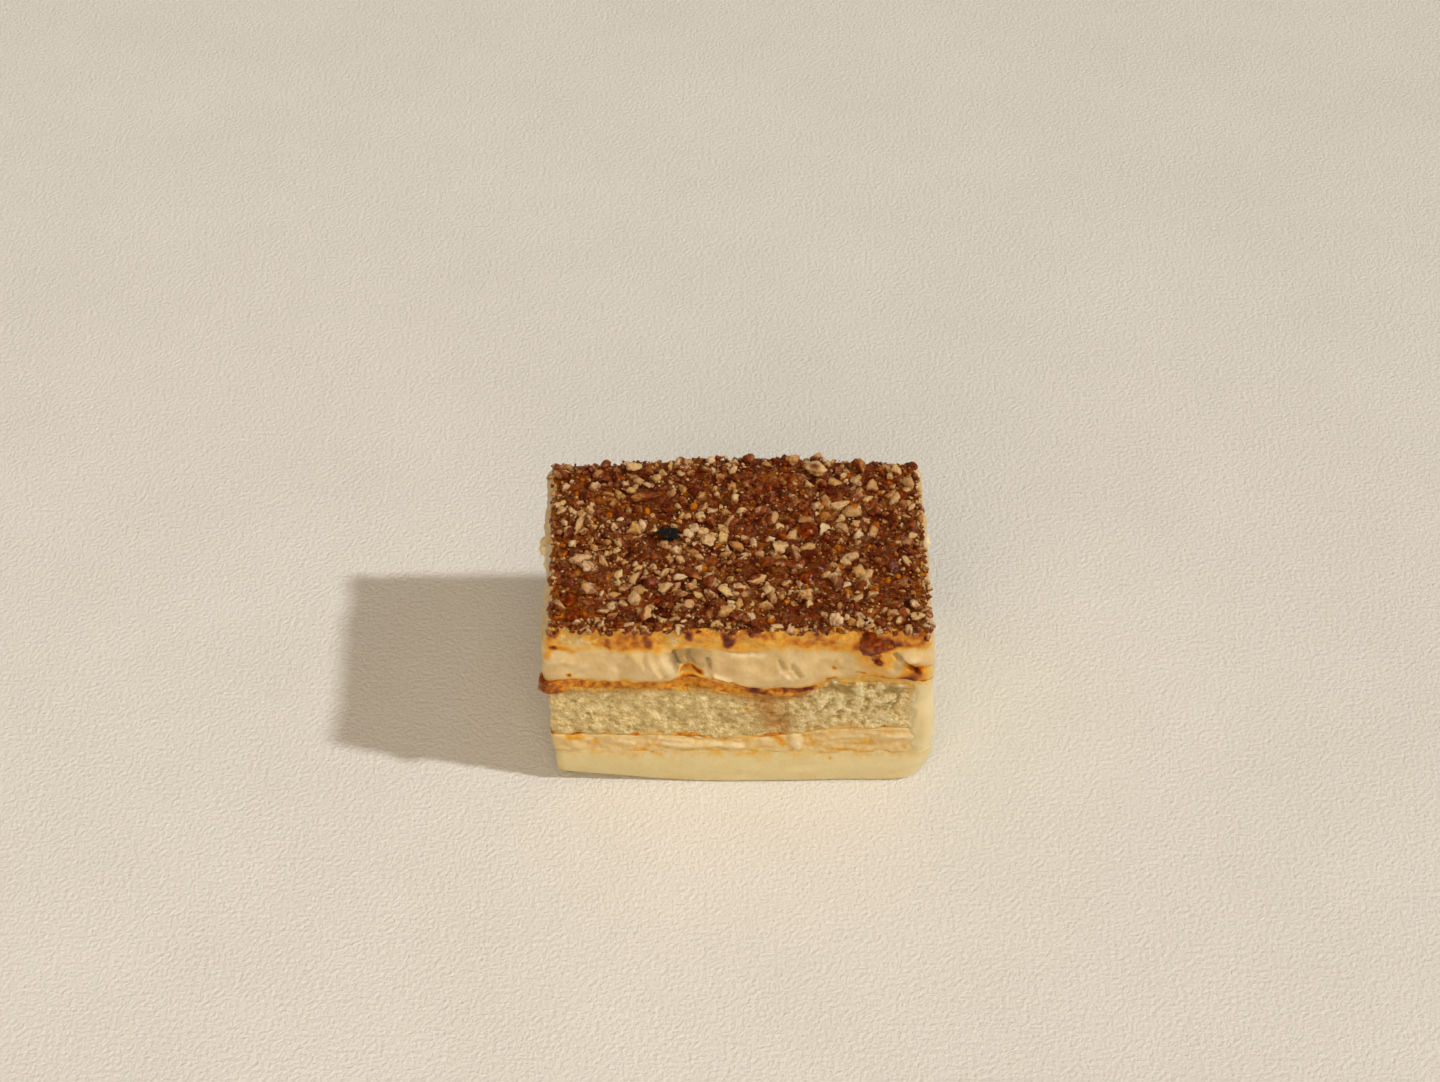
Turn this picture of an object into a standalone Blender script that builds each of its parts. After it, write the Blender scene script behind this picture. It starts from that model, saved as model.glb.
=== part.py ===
"""A cut slice of pecan tiramisu: a stack of soft layers under chopped pecans in caramel.

From the foot up it has a smooth pale base, a thin cream, a thin caramel line, a sponge, a caramel
seam, a thick cream and the pecan topping. Cream coats the right end from the base to the thick cream.
Metres, +Z up. The origin is the centre of the foot. X runs along the slice and the front cut faces -Y.
"""

import math
import random

import bmesh
import bpy
from mathutils import Euler, Matrix, Vector, noise

MM = 0.001

# The block, and the clearance between two neighbours
WIDTH = 76 * MM
DEPTH = 51 * MM
GAP = 0.36 * MM

# Mean heights of the surfaces between the layers
BASE_TOP = 8.4 * MM
LOWER_LINE = 12.8 * MM
LOWER_LINE_THICK = 0.9 * MM
SPONGE_TOP = 26.2 * MM
CARAMEL_THICK = 1.6 * MM
CREAM_TOP = 38.2 * MM
TOPPING_TOP = 41.3 * MM

# The sides
COAT_THICK = 2.2 * MM
CORNER_RADIUS = 1.6 * MM
EDGE_BAND = 8 * MM  # the layers wave only this near the sides and are flat further in
BASE_LEFT_INSET = 1.6 * MM
BASE_RIGHT_BULGE = 1.2 * MM
BASE_CORNER_RADIUS = 6.5 * MM
FOOT_LIFT = 2.3 * MM  # the front left corner curls up from the plate by this much

TOPPING_INSETS = (1.2 * MM, 1.0 * MM, 0.5 * MM, 0.4 * MM)  # left, right, front and back

# Places on the front cut, as X and Z
HOLLOW = (-9.4 * MM, 33.4 * MM)
LEFT_LOBE = (-15.0 * MM, 32.0 * MM)
RIGHT_LOBE = (5.0 * MM, 29.5 * MM)
CRACK = (32.5 * MM, 33.4 * MM)
DRIP = (26.4 * MM, 36.9 * MM)

# Points along the front, the back and each end of a ring, and round each corner
LAYER_COLUMNS = (23, 11, 8)
TOPPING_COLUMNS = (13, 10, 7)
CORNER_COLUMNS = 4

# The chopped pecans
SEED = 7
SCATTERED_NUTS = 215
LARGEST_NUT = 4.8 * MM
SMALLEST_NUT = 2.3 * MM
LANDMARK_POINTS = 10
SCATTERED_POINTS = 8

# The pieces that stand out: X, Y, length, width and height in millimetres, and the turn in degrees
LANDMARK_NUTS = {
    "burnt_piece": (-13.5, 2.2, 5.2, 3.6, 3.0, -8),
    "red_skinned_half": (5.8, -5.4, 5.6, 3.2, 3.2, 35),
    "arched_sliver": (4.4, -10.4, 6.2, 2.2, 2.4, 25),
    "round_at_front": (18.6, -22.4, 3.9, 3.8, 3.4, 0),
    "large_at_back": (16.0, 20.4, 5.0, 4.2, 3.8, -25),
    "high_on_back_edge": (2.3, 23.6, 3.4, 2.8, 3.8, 70),
    "upright_on_back_edge": (11.4, 23.4, 3.2, 2.6, 3.4, 40),
    "back_right": (25.2, 23.0, 4.4, 3.6, 2.8, 10),
    "back_left": (-21.5, 22.6, 4.6, 3.2, 2.6, 15),
    "long_skin": (-18.4, 13.3, 6.8, 2.8, 2.0, 12),
    "yellow_at_left": (-20.5, 4.3, 4.2, 3.8, 2.8, 60),
    "sliver_at_left": (-31.6, 6.4, 6.4, 2.2, 2.2, 75),
    "stick_at_left": (-31.4, -5.4, 5.0, 2.2, 2.4, 10),
    "round_at_left": (-28.9, -13.0, 4.2, 3.9, 2.6, 40),
    "beside_burnt_piece": (-5.8, 0.6, 4.4, 2.8, 2.4, -20),
    "skin_in_middle": (-9.0, -8.4, 5.6, 3.4, 2.2, -15),
    "front_middle": (-2.3, -14.6, 5.0, 2.4, 2.2, -8),
    "front_left": (-14.6, -13.2, 4.2, 2.8, 2.4, 30),
    "long_at_front": (13.6, -15.0, 5.8, 2.8, 2.6, 22),
    "long_at_right": (20.5, 10.6, 5.6, 2.2, 2.2, 14),
    "skin_at_right": (35.2, 4.8, 4.2, 2.6, 2.2, -60),
    "flat_slice_right": (34.4, -17.8, 3.6, 2.2, 2.0, 8),
    "flat_slice_corner": (35.0, -21.0, 3.6, 2.2, 2.0, -4),
}


def clear_scene():
    for obj in list(bpy.data.objects):
        bpy.data.objects.remove(obj, do_unlink=True)


def material(name, colour, roughness):
    made = bpy.data.materials.new(name)
    made.use_nodes = True
    shader = made.node_tree.nodes["Principled BSDF"]
    shader.inputs["Base Color"].default_value = (*colour, 1)
    shader.inputs["Roughness"].default_value = roughness
    shader.inputs["Metallic"].default_value = 0
    return made


def bump(value, centre, reach):
    """1 at the centre, falling smoothly to 0 at the reach."""
    share = min(abs(value - centre) / reach, 1)
    return (1 - share * share) ** 2


def spot(x, z, place, reach_x, reach_z):
    """1 at a place on the front cut, falling smoothly to 0 at the reach each way."""
    share = min(math.hypot((x - place[0]) / reach_x, (z - place[1]) / reach_z), 1)
    return (1 - share * share) ** 2


def frontness(y):
    """1 on the front cut and 0 from the middle of the block to the back."""
    share = min(max(-2 * y / DEPTH, 0), 1)
    return share * share * (3 - 2 * share)


def ripple(x, y, z, scale, seed):
    """Smooth noise from about -1 to 1, the same on each run."""
    return noise.noise(Vector((x, y, z)) / scale + Vector((seed, 2.7 * seed, 0)))


def edge_share(x, y):
    """1 on the block's sides, falling evenly to 0 where the flat middle begins."""
    inside = min(WIDTH / 2 - abs(x), DEPTH / 2 - abs(y))
    return min(max(1 - inside / EDGE_BAND, 0), 1)


def base_top(x, y):
    wave = 0.5 * MM * ripple(x, y, 0, 15 * MM, 11)
    return BASE_TOP + wave * edge_share(x, y)


def lower_line(x, y):
    """The underside of the thin caramel line: it sags in mid-front and climbs to the right."""
    climb = min(max((x - 4 * MM) / (20 * MM), 0), 1)
    front = 2.2 * MM * climb - 1.2 * MM * bump(x, 1 * MM, 17 * MM)
    wave = 0.5 * MM * ripple(x, y, 0, 13 * MM, 23)
    return LOWER_LINE + (wave + front * frontness(y)) * edge_share(x, y)


def sponge_bottom(x, y):
    return lower_line(x, y) + LOWER_LINE_THICK


def sponge_top(x, y):
    """The upper side of the sponge, pressed down under the cream's heavy right lobe."""
    front = 1.4 * MM * bump(x, 26 * MM, 13 * MM) - 1.9 * MM * bump(x, 5 * MM, 15 * MM)
    wave = 0.6 * MM * ripple(x, y, 0, 14 * MM, 37)
    return SPONGE_TOP + (wave + front * frontness(y)) * edge_share(x, y)


def cream_bottom(x, y):
    """The underside of the thick cream: caramel pools in the hollow and thins at the right lobe."""
    pool = 1.0 * MM * bump(x, HOLLOW[0], 6 * MM) - 0.5 * MM * bump(x, 8 * MM, 12 * MM)
    return sponge_top(x, y) + CARAMEL_THICK + pool * frontness(y) * edge_share(x, y)


def cream_top(x, y):
    wave = 0.4 * MM * ripple(x, y, 0, 12 * MM, 53)
    return CREAM_TOP + wave * edge_share(x, y)


def topping_top(x, y):
    """The caramel between the pecans: uneven, heaped behind the middle and rounded off at the sides."""
    heap = 2.1 * MM * bump(x, 2 * MM, 30 * MM) * bump(y, 20 * MM, 22 * MM)
    wave = 0.45 * MM * ripple(x, y, 0, 7 * MM, 71)
    rim = 0.7 * MM * edge_share(x, y) ** 4
    return TOPPING_TOP + heap + wave - rim


def clear_of_coat(x):
    """0 where a layer meets the cream on the right end, 1 from a little further in."""
    return min(max((WIDTH / 2 - COAT_THICK - GAP - x) / (2 * MM), 0), 1)


def foot(x, y):
    """The underside's outer edge: on the plate, but for the left end, which curls up."""
    curl = min(max((-x - 8 * MM) / (28 * MM), 0), 1) ** 1.6
    return FOOT_LIFT * curl * (0.35 + 0.65 * frontness(y))


def arc(centre_x, centre_y, radius, start):
    """The points of one corner, a quarter turn from the start angle, each with its outward normal."""
    for step in range(CORNER_COLUMNS):
        angle = start + math.pi / 2 * step / (CORNER_COLUMNS - 1)
        out = (math.cos(angle), math.sin(angle))
        yield (centre_x + radius * out[0], centre_y + radius * out[1], *out)


def side(start, end, count, out):
    """Evenly spaced points strictly between two corners, each with the side's outward normal."""
    for step in range(count):
        share = (step + 1) / (count + 1)
        x = start[0] + (end[0] - start[0]) * share
        y = start[1] + (end[1] - start[1]) * share
        yield (x, y, *out)


def plan(left=0.0, right=0.0, front=0.0, back=0.0, front_right=CORNER_RADIUS, columns=LAYER_COLUMNS):
    """The outline from above, counterclockwise from the front left corner, with each side pulled in."""
    low_x, high_x = left - WIDTH / 2, WIDTH / 2 - right
    low_y, high_y = front - DEPTH / 2, DEPTH / 2 - back
    along_front, along_back, along_end = columns
    r = CORNER_RADIUS
    points = list(arc(low_x + r, low_y + r, r, math.pi))
    points += side((low_x + r, low_y), (high_x - front_right, low_y), along_front, (0, -1))
    points += arc(high_x - front_right, low_y + front_right, front_right, -math.pi / 2)
    points += side((high_x, low_y + front_right), (high_x, high_y - r), along_end, (1, 0))
    points += arc(high_x - r, high_y - r, r, 0)
    points += side((high_x - r, high_y), (low_x + r, high_y), along_back, (0, 1))
    points += arc(low_x + r, high_y - r, r, math.pi / 2)
    points += side((low_x, high_y - r), (low_x, low_y + r), along_end, (-1, 0))
    return points


def flat_middle(columns=LAYER_COLUMNS):
    """The edge of a layer's flat middle, with as many points as its outline."""
    inset = EDGE_BAND + 0.2 * MM
    return plan(left=inset, right=inset, front=inset, back=inset, columns=columns)


def loft(name, rings, look):
    """One closed body through rings of equal length from the bottom up, with a flat cap at each end."""
    shape = bmesh.new()
    loops = [[shape.verts.new(point) for point in ring] for ring in rings]
    for lower, upper in zip(loops, loops[1:]):
        for i in range(len(lower)):
            j = (i + 1) % len(lower)
            shape.faces.new((lower[i], lower[j], upper[j], upper[i]))
    shape.faces.new(reversed(loops[0]))
    shape.faces.new(loops[-1])
    bmesh.ops.remove_doubles(shape, verts=shape.verts, dist=0.001 * MM)
    bmesh.ops.triangulate(shape, faces=shape.faces)
    return finished(name, shape, look)


def finished(name, shape, look):
    mesh = bpy.data.meshes.new(name)
    shape.to_mesh(mesh)
    shape.free()
    mesh.materials.append(look)
    mesh.shade_smooth()
    mesh.set_sharp_from_angle(angle=math.radians(40))
    obj = bpy.data.objects.new(name, mesh)
    bpy.context.scene.collection.objects.link(obj)
    return obj


def wall_ring(outline, low, high, level, relief):
    """The ring of a layer's side at a share of its height, pushed outwards by the relief."""
    ring = []
    for x, y, out_x, out_y in outline:
        z = low(x, y) + (high(x, y) - low(x, y)) * level
        push = relief(x, y, z, level)
        ring.append((x + out_x * push, y + out_y * push, z))
    return ring


def layer(name, low, high, outline_at, levels, relief, look):
    """A slab between two wavy surfaces, flat in the middle, whose sides have the relief."""

    def floor(x, y):
        return low(x, y) + GAP / 2

    def roof(x, y):
        return high(x, y) - GAP / 2

    rings = [flat_ring(flat_middle(), floor)]
    rings += [wall_ring(outline_at(level), floor, roof, level, relief) for level in levels]
    rings += [flat_ring(flat_middle(), roof)]
    return loft(name, rings, look)


def flat_ring(outline, height):
    return [(x, y, height(x, y)) for x, y, _, _ in outline]


def smooth_base():
    def outline_at(level):
        radius = BASE_CORNER_RADIUS + (3.2 * MM - BASE_CORNER_RADIUS) * level
        bulge = BASE_RIGHT_BULGE * min(0.3 + level, 1)
        return plan(left=BASE_LEFT_INSET, right=-bulge, front_right=radius)

    def relief(x, y, z, level):
        rounding = 0.7 * MM * max(1 - level / 0.12, 0)
        belly = 0.35 * MM * math.sin(math.pi * level)
        bow = 0.7 * MM * bump(x, 4 * MM, 34 * MM) * frontness(y) * (1 - level)
        return belly + bow - rounding + 0.15 * MM * ripple(x, y, z, 12 * MM, 3)

    def floor(x, y):
        return foot(x, y) * edge_share(x, y) - GAP / 2

    look = material("base_custard", (0.68, 0.47, 0.19), 0.45)
    return layer("base_layer", floor, base_top, outline_at, (0, 0.12, 0.4, 0.75, 1), relief, look)


def thin_cream():
    def outline_at(level):
        return plan(left=(1.5 - 1.1 * level) * MM, right=COAT_THICK + GAP)

    def relief(x, y, z, level):
        belly = 0.25 * MM * math.sin(math.pi * level)
        return (belly + 0.45 * MM * ripple(x, y, z, 6 * MM, 5)) * clear_of_coat(x)

    look = material("lower_cream", (0.72, 0.48, 0.20), 0.4)
    return layer("lower_cream", base_top, lower_line, outline_at, (0, 0.5, 1), relief, look)


def thin_caramel_line():
    def outline_at(level):
        return plan(left=0.4 * MM, right=COAT_THICK + GAP)

    def relief(x, y, z, level):
        return 0.3 * MM * ripple(x, y, z, 5 * MM, 9) * clear_of_coat(x)

    look = material("lower_caramel", (0.42, 0.17, 0.03), 0.35)
    return layer("lower_caramel_line", lower_line, sponge_bottom, outline_at, (0, 1), relief, look)


def sponge():
    def outline_at(level):
        return plan(left=0.4 * MM, right=COAT_THICK + GAP)

    def relief(x, y, z, level):
        crumb = 0.55 * MM * ripple(x, y, z, 3.4 * MM, 13)
        slab = 0.35 * MM * ripple(x, y, z, 11 * MM, 17)
        return (crumb + slab - 0.35 * MM) * clear_of_coat(x)

    look = material("sponge", (0.57, 0.38, 0.15), 0.9)
    levels = (0, 0.25, 0.5, 0.75, 1)
    return layer("sponge_layer", sponge_bottom, sponge_top, outline_at, levels, relief, look)


def caramel_seam():
    def outline_at(level):
        return plan(right=COAT_THICK + GAP)

    def relief(x, y, z, level):
        corner = math.hypot(x + WIDTH / 2, y + DEPTH / 2)
        lump = 1.2 * MM * bump(corner, 0, 7 * MM)
        recess = -1.2 * MM * spot(x, 28 * MM, (HOLLOW[0], 28 * MM), 5 * MM, 5 * MM) * frontness(y)
        belly = 0.35 * MM * ripple(x, y, z, 5 * MM, 19) * math.sin(math.pi * level)
        return lump + recess + belly * clear_of_coat(x)

    look = material("caramel", (0.40, 0.14, 0.02), 0.3)
    return layer("caramel_seam", sponge_top, cream_bottom, outline_at, (0, 0.5, 1), relief, look)


def thick_cream():
    def outline_at(level):
        return plan(right=-0.2 * MM * (1 - level), front_right=2.4 * MM)

    def relief(x, y, z, level):
        belly = 0.45 * MM * math.sin(math.pi * level)
        folds = 0.4 * MM * ripple(x, y, z, 8 * MM, 29)
        front = 0.8 * MM * spot(x, z, LEFT_LOBE, 5 * MM, 4.5 * MM)
        front += 0.6 * MM * spot(x, z, RIGHT_LOBE, 10 * MM, 4 * MM)
        front -= 3.6 * MM * spot(x, z, HOLLOW, 4.6 * MM, 4.8 * MM)
        front -= 1.6 * MM * spot(x, z, CRACK, 4 * MM, 3 * MM)
        front -= 1.9 * MM * spot(x, z, DRIP, 7 * MM, 8 * MM)
        return belly + folds + front * frontness(y)

    look = material("cream", (0.73, 0.50, 0.22), 0.35)
    return layer("top_cream", cream_bottom, cream_top, outline_at, (0, 0.2, 0.5, 0.8, 1), relief, look)


def side_coat():
    """The cream that covers the right end between the base and the thick cream."""
    inner_x = WIDTH / 2 - COAT_THICK
    front_y = -DEPTH / 2 + 0.1 * MM
    back_y = DEPTH / 2 - 0.5 * MM
    rounding = 1.0 * MM
    rows, columns = 4, 14
    shape = bmesh.new()

    def outline(share):
        """Four runs round the slab at a share of its height: its front, outer face, back and inner face."""
        outer_x = WIDTH / 2 + (0.3 + 1.0 * bump(share, 0.1, 1.0)) * MM
        points = [(inner_x, front_y), (outer_x - rounding, front_y)]
        for step in range(columns + 1):
            y = front_y + rounding + (back_y - front_y - 2 * rounding) * step / columns
            points.append((outer_x + 0.3 * MM * ripple(outer_x, y, share * 20 * MM, 9 * MM, 41), y))
        points += [(outer_x - rounding, back_y), (inner_x, back_y)]
        points += [(inner_x, back_y + (front_y - back_y) * step / columns) for step in range(1, columns)]
        return points

    loops = []
    for row in range(rows + 1):
        share = row / rows
        loop = []
        for x, y in outline(share):
            low, high = base_top(x, y) + GAP / 2, cream_bottom(x, y) - GAP / 2
            loop.append(shape.verts.new((x, y, low + (high - low) * share)))
        loops.append(loop)
    count = len(loops[0])
    for lower, upper in zip(loops, loops[1:]):
        for i in range(count):
            j = (i + 1) % count
            shape.faces.new((lower[i], lower[j], upper[j], upper[i]))
    cap_strip(shape, loops[0], columns, facing_up=False)
    cap_strip(shape, loops[-1], columns, facing_up=True)
    bmesh.ops.triangulate(shape, faces=shape.faces)
    look = material("side_cream", (0.74, 0.53, 0.26), 0.4)
    return finished("side_coat", shape, look)


def cap_strip(shape, loop, columns, facing_up):
    """Closes the slab's narrow end with quads from its outer run to its inner run."""
    outer = loop[2 : columns + 3]
    inner = [loop[0], *reversed(loop[columns + 5 :]), loop[columns + 4]]
    faces = [(inner[0], loop[1], outer[0])]
    faces += [(inner[i], outer[i], outer[i + 1], inner[i + 1]) for i in range(columns)]
    faces += [(outer[-1], loop[columns + 3], inner[-1])]
    for corners in faces:
        shape.faces.new(corners if facing_up else tuple(reversed(corners)))


def caramel_core(look):
    """The caramel bed that holds the pecans, with its top in rings that close in on the middle."""

    def outline_at(inset):
        left, right, front, back = TOPPING_INSETS
        return plan(left + inset, right + inset, front + inset, back + inset, columns=TOPPING_COLUMNS)

    def floor(x, y):
        return cream_top(x, y) + GAP / 2

    def relief(x, y, z, level):
        return 0.35 * MM * ripple(x, y, z, 5 * MM, 61) + 0.3 * MM * math.sin(math.pi * level)

    rings = [flat_ring(flat_middle(TOPPING_COLUMNS), floor)]
    rings += [wall_ring(outline_at(0), floor, topping_top, level, relief) for level in (0, 0.55, 1)]
    rings += [flat_ring(outline_at(inset * MM), topping_top) for inset in (2.5, 8, 15, 21.5)]
    return loft("pecan_topping", rings, look)


def chopped_nut(draw, count, length, width, height):
    """A broken piece of pecan: the convex hull of a count of points on a rough ellipsoid."""
    shape = bmesh.new()
    turn = draw.uniform(0, math.tau)
    for i in range(count):
        up = 1 - 2 * (i + 0.5) / count
        around = turn + i * math.pi * (3 - math.sqrt(5))
        flat = math.sqrt(1 - up * up)
        rough = draw.uniform(0.78, 1.12)
        corner = Vector((flat * math.cos(around), flat * math.sin(around), up)) * rough
        shape.verts.new((corner.x * length / 2, corner.y * width / 2, corner.z * height / 2))
    bmesh.ops.convex_hull(shape, input=shape.verts)
    loose = [v for v in shape.verts if not v.link_faces]
    bmesh.ops.delete(shape, geom=loose, context="VERTS")
    bmesh.ops.recalc_face_normals(shape, faces=shape.faces)
    return shape


def placed(shape, centre, turn, tilt, tip):
    shape.transform(Matrix.Translation(centre) @ Euler((tilt, tip, turn)).to_matrix().to_4x4())
    return shape


def nut_places(draw):
    """The pieces that stand out, then scattered ones from the largest down, each clear of the rest."""
    places = []
    for x, y, length, width, height, turn in LANDMARK_NUTS.values():
        places.append((x * MM, y * MM, length * MM, width * MM, height * MM, math.radians(turn)))
    for i in range(SCATTERED_NUTS):
        share = i / (SCATTERED_NUTS - 1)
        length = LARGEST_NUT + (SMALLEST_NUT - LARGEST_NUT) * share**0.7
        width = length * draw.uniform(0.6, 0.95)
        height = length * draw.uniform(0.55, 0.8)
        reach_x = WIDTH / 2 - 0.9 * MM - 0.3 * length
        reach_y = DEPTH / 2 - 0.6 * MM - 0.3 * length
        for _ in range(60):
            x, y = draw.uniform(-reach_x, reach_x), draw.uniform(-reach_y, reach_y)
            if all(math.hypot(x - p[0], y - p[1]) > 0.43 * (length + p[2]) for p in places):
                places.append((x, y, length, width, height, draw.uniform(0, math.pi)))
                break
    return places


def drip():
    """A thick caramel run over the front edge: a shoulder on the bed and a bead that hangs from it."""
    shapes = []
    for centre, size in (
        ((26.0, -24.2, 39.7), (8.6, 3.8, 3.0)),
        ((26.4, -25.5, 37.2), (7.2, 1.8, 7.8)),
    ):
        shape = bmesh.new()
        bmesh.ops.create_icosphere(shape, subdivisions=2, radius=0.5)
        stretch = Matrix.Diagonal((*(Vector(size) * MM), 1))
        shape.transform(Matrix.Translation(Vector(centre) * MM) @ stretch)
        shapes.append(shape)
    return shapes


def keep_largest_shell(mesh):
    """Keeps the outer skin alone, which drops loose scraps and fills any hollow that fusing sealed."""
    shape = bmesh.new()
    shape.from_mesh(mesh)
    unseen = set(shape.verts)
    shells = []
    while unseen:
        todo = [unseen.pop()]
        shell = set(todo)
        while todo:
            for edge in todo.pop().link_edges:
                for vert in edge.verts:
                    if vert in unseen:
                        unseen.remove(vert)
                        shell.add(vert)
                        todo.append(vert)
        shells.append(shell)
    largest = max(shells, key=len)
    spare = [v for v in shape.verts if v not in largest]
    bmesh.ops.delete(shape, geom=spare, context="VERTS")
    shape.to_mesh(mesh)
    shape.free()


def pecan_topping():
    """The caramel bed, its drip and the pecans, fused into one body."""
    draw = random.Random(SEED)
    look = material("pecan_praline", (0.30, 0.13, 0.035), 0.4)
    core = caramel_core(look)
    pieces = bpy.data.collections.new("pieces")
    shapes = drip()
    for i, (x, y, length, width, height, turn) in enumerate(nut_places(draw)):
        lift = topping_top(x, y) + 0.12 * height
        count = LANDMARK_POINTS if i < len(LANDMARK_NUTS) else SCATTERED_POINTS
        nut = chopped_nut(draw, count, length, width, height)
        tilt, tip = draw.uniform(-0.35, 0.35), draw.uniform(-0.35, 0.35)
        shapes.append(placed(nut, Vector((x, y, lift)), turn, tilt, tip))
    for i, shape in enumerate(shapes):
        mesh = bpy.data.meshes.new(f"piece_{i}")
        shape.to_mesh(mesh)
        shape.free()
        pieces.objects.link(bpy.data.objects.new(mesh.name, mesh))
    bpy.context.scene.collection.children.link(pieces)
    fuse = core.modifiers.new("fuse", "BOOLEAN")
    fuse.operation = "UNION"
    fuse.operand_type = "COLLECTION"
    fuse.collection = pieces
    bpy.context.view_layer.objects.active = core
    bpy.ops.object.modifier_apply(modifier=fuse.name)
    for piece in list(pieces.objects):
        bpy.data.objects.remove(piece, do_unlink=True)
    bpy.data.collections.remove(pieces)
    keep_largest_shell(core.data)
    return core


def main():
    clear_scene()
    smooth_base()
    thin_cream()
    thin_caramel_line()
    sponge()
    caramel_seam()
    thick_cream()
    side_coat()
    pecan_topping()


main()
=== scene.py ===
"""The looks of a cut slice of pecan tiramisu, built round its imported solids.

Each layer is a detailed closed mesh in place of its plain solid: the custard base, the lower cream, the lower
caramel line, the sponge, the caramel seam, the thick cream and the cream on the right end. The topping is a
caramel bed with chopped pecans, crumbs and grains of pecan and beads of caramel on it.
Lengths are in millimetres until a mesh is made, in the row's frame: X along the slice, the front cut at -Y.
"""

import math
import random

import bmesh
import bpy
import numpy as np
from mathutils import Euler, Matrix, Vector, noise


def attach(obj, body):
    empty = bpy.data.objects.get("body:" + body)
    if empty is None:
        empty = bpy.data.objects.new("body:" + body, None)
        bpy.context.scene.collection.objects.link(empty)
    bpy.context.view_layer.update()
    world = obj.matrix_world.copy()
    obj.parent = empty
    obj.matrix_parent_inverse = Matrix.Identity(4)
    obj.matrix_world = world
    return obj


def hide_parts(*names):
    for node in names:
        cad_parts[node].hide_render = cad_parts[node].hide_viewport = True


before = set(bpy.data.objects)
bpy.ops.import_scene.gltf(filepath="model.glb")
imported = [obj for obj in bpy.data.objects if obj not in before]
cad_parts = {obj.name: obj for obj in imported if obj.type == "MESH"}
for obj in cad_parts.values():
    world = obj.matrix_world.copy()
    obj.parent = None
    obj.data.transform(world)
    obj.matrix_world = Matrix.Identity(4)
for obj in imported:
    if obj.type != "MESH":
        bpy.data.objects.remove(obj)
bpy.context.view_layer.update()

MM = 0.001

# The block and its layers, as in the solids
WIDTH = 76.0
DEPTH = 51.0
BASE_TOP = 8.4
LOWER_LINE = 12.8
LOWER_LINE_THICK = 0.9
SPONGE_TOP = 26.2
CARAMEL_THICK = 1.6
CREAM_TOP = 38.2
TOPPING_TOP = 41.3
COAT_THICK = 2.2
EDGE_BAND = 8.0
BASE_LEFT_INSET = 1.6
BASE_RIGHT_BULGE = 1.2
FOOT_LIFT = 2.3
TOPPING_INSETS = (1.2, 1.0, 0.5, 0.4)
TOPPING_RADII = (1.8, 2.0, 1.8, 1.8)

# Places on the front cut, as X and Z
HOLLOW = (-9.4, 33.4)
LEFT_LOBE = (-15.0, 32.0)
RIGHT_LOBE = (5.0, 29.5)
DRIP = (26.4, 37.2)

# Marks on the front cut: where each starts and ends as X and Z, its reach and its strength
BAND_MARKS = (
    ((-37.4, 34.6), (-35.8, 37.2), 1.0, 0.5),
    ((-35.8, 37.2), (-31.6, 36.4), 0.9, 0.5),
    ((-36.5, 39.8), (-34.8, 40.8), 1.2, 0.3),
    ((-25.6, 38.6), (-25.4, 37.2), 1.3, 0.38),
    ((-22.5, 40.0), (-19.5, 38.4), 2.2, 0.22),
    ((-17.6, 39.6), (-17.2, 38.2), 1.5, 0.4),
    ((-9.6, 40.6), (-9.3, 39.6), 1.0, 0.55),
    ((-2.4, 40.0), (-1.8, 38.3), 1.5, 0.62),
    ((2.5, 40.9), (6.5, 40.2), 1.4, 0.3),
    ((8.0, 39.0), (14.0, 38.2), 1.5, 0.26),
    ((15.2, 39.8), (17.6, 39.0), 1.8, 0.24),
    ((31.0, 40.4), (36.5, 40.0), 1.6, 0.16),
    ((31.4, 38.6), (33.0, 38.0), 1.4, 0.25),
)
BAND_LIGHTS = (
    ((-33.5, 39.4), (-29.5, 38.6), 1.8, 0.32),
    ((-31.0, 38.6), (-30.4, 38.0), 0.9, 0.3),
    ((-13.6, 40.4), (-12.4, 38.4), 1.4, 0.3),
    ((-4.6, 39.6), (-4.0, 38.2), 1.4, 0.25),
    ((0.4, 38.8), (1.4, 38.0), 1.2, 0.28),
    ((35.0, 36.6), (36.6, 35.4), 1.4, 0.3),
    ((32.0, 40.6), (34.0, 40.4), 0.7, 0.25),
)
CREAM_MARKS = (
    ((-33.0, 30.4), (-32.9, 30.0), 0.8, 1.0),
    ((-11.2, 31.3), (-7.0, 30.4), 0.8, 0.62),
    ((-8.3, 30.9), (-7.4, 30.6), 0.7, 0.3),
    ((-12.0, 29.6), (-6.4, 28.9), 1.2, 0.34),
    ((-4.8, 29.2), (1.5, 26.8), 0.8, 0.6),
    ((18.8, 32.3), (19.1, 31.9), 0.8, 0.75),
    ((19.0, 34.3), (19.1, 34.0), 0.6, 0.45),
    ((17.6, 28.9), (18.9, 29.2), 1.0, 0.5),
    ((23.0, 30.9), (24.8, 30.4), 0.45, 0.6),
    ((31.1, 27.6), (30.9, 26.6), 1.0, 1.0),
    ((27.0, 28.8), (33.0, 27.8), 2.6, 0.42),
    ((34.6, 30.6), (34.4, 26.4), 4.2, 0.74),
    ((34.2, 31.4), (35.4, 30.8), 0.9, 0.4),
    ((26.0, 37.6), (26.8, 34.4), 6.0, 0.5),
    ((25.2, 39.4), (28.8, 38.0), 2.2, 0.35),
    ((26.6, 34.6), (27.6, 33.6), 1.1, 0.75),
    ((29.0, 38.6), (30.6, 38.0), 1.3, 0.35),
)
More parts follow.
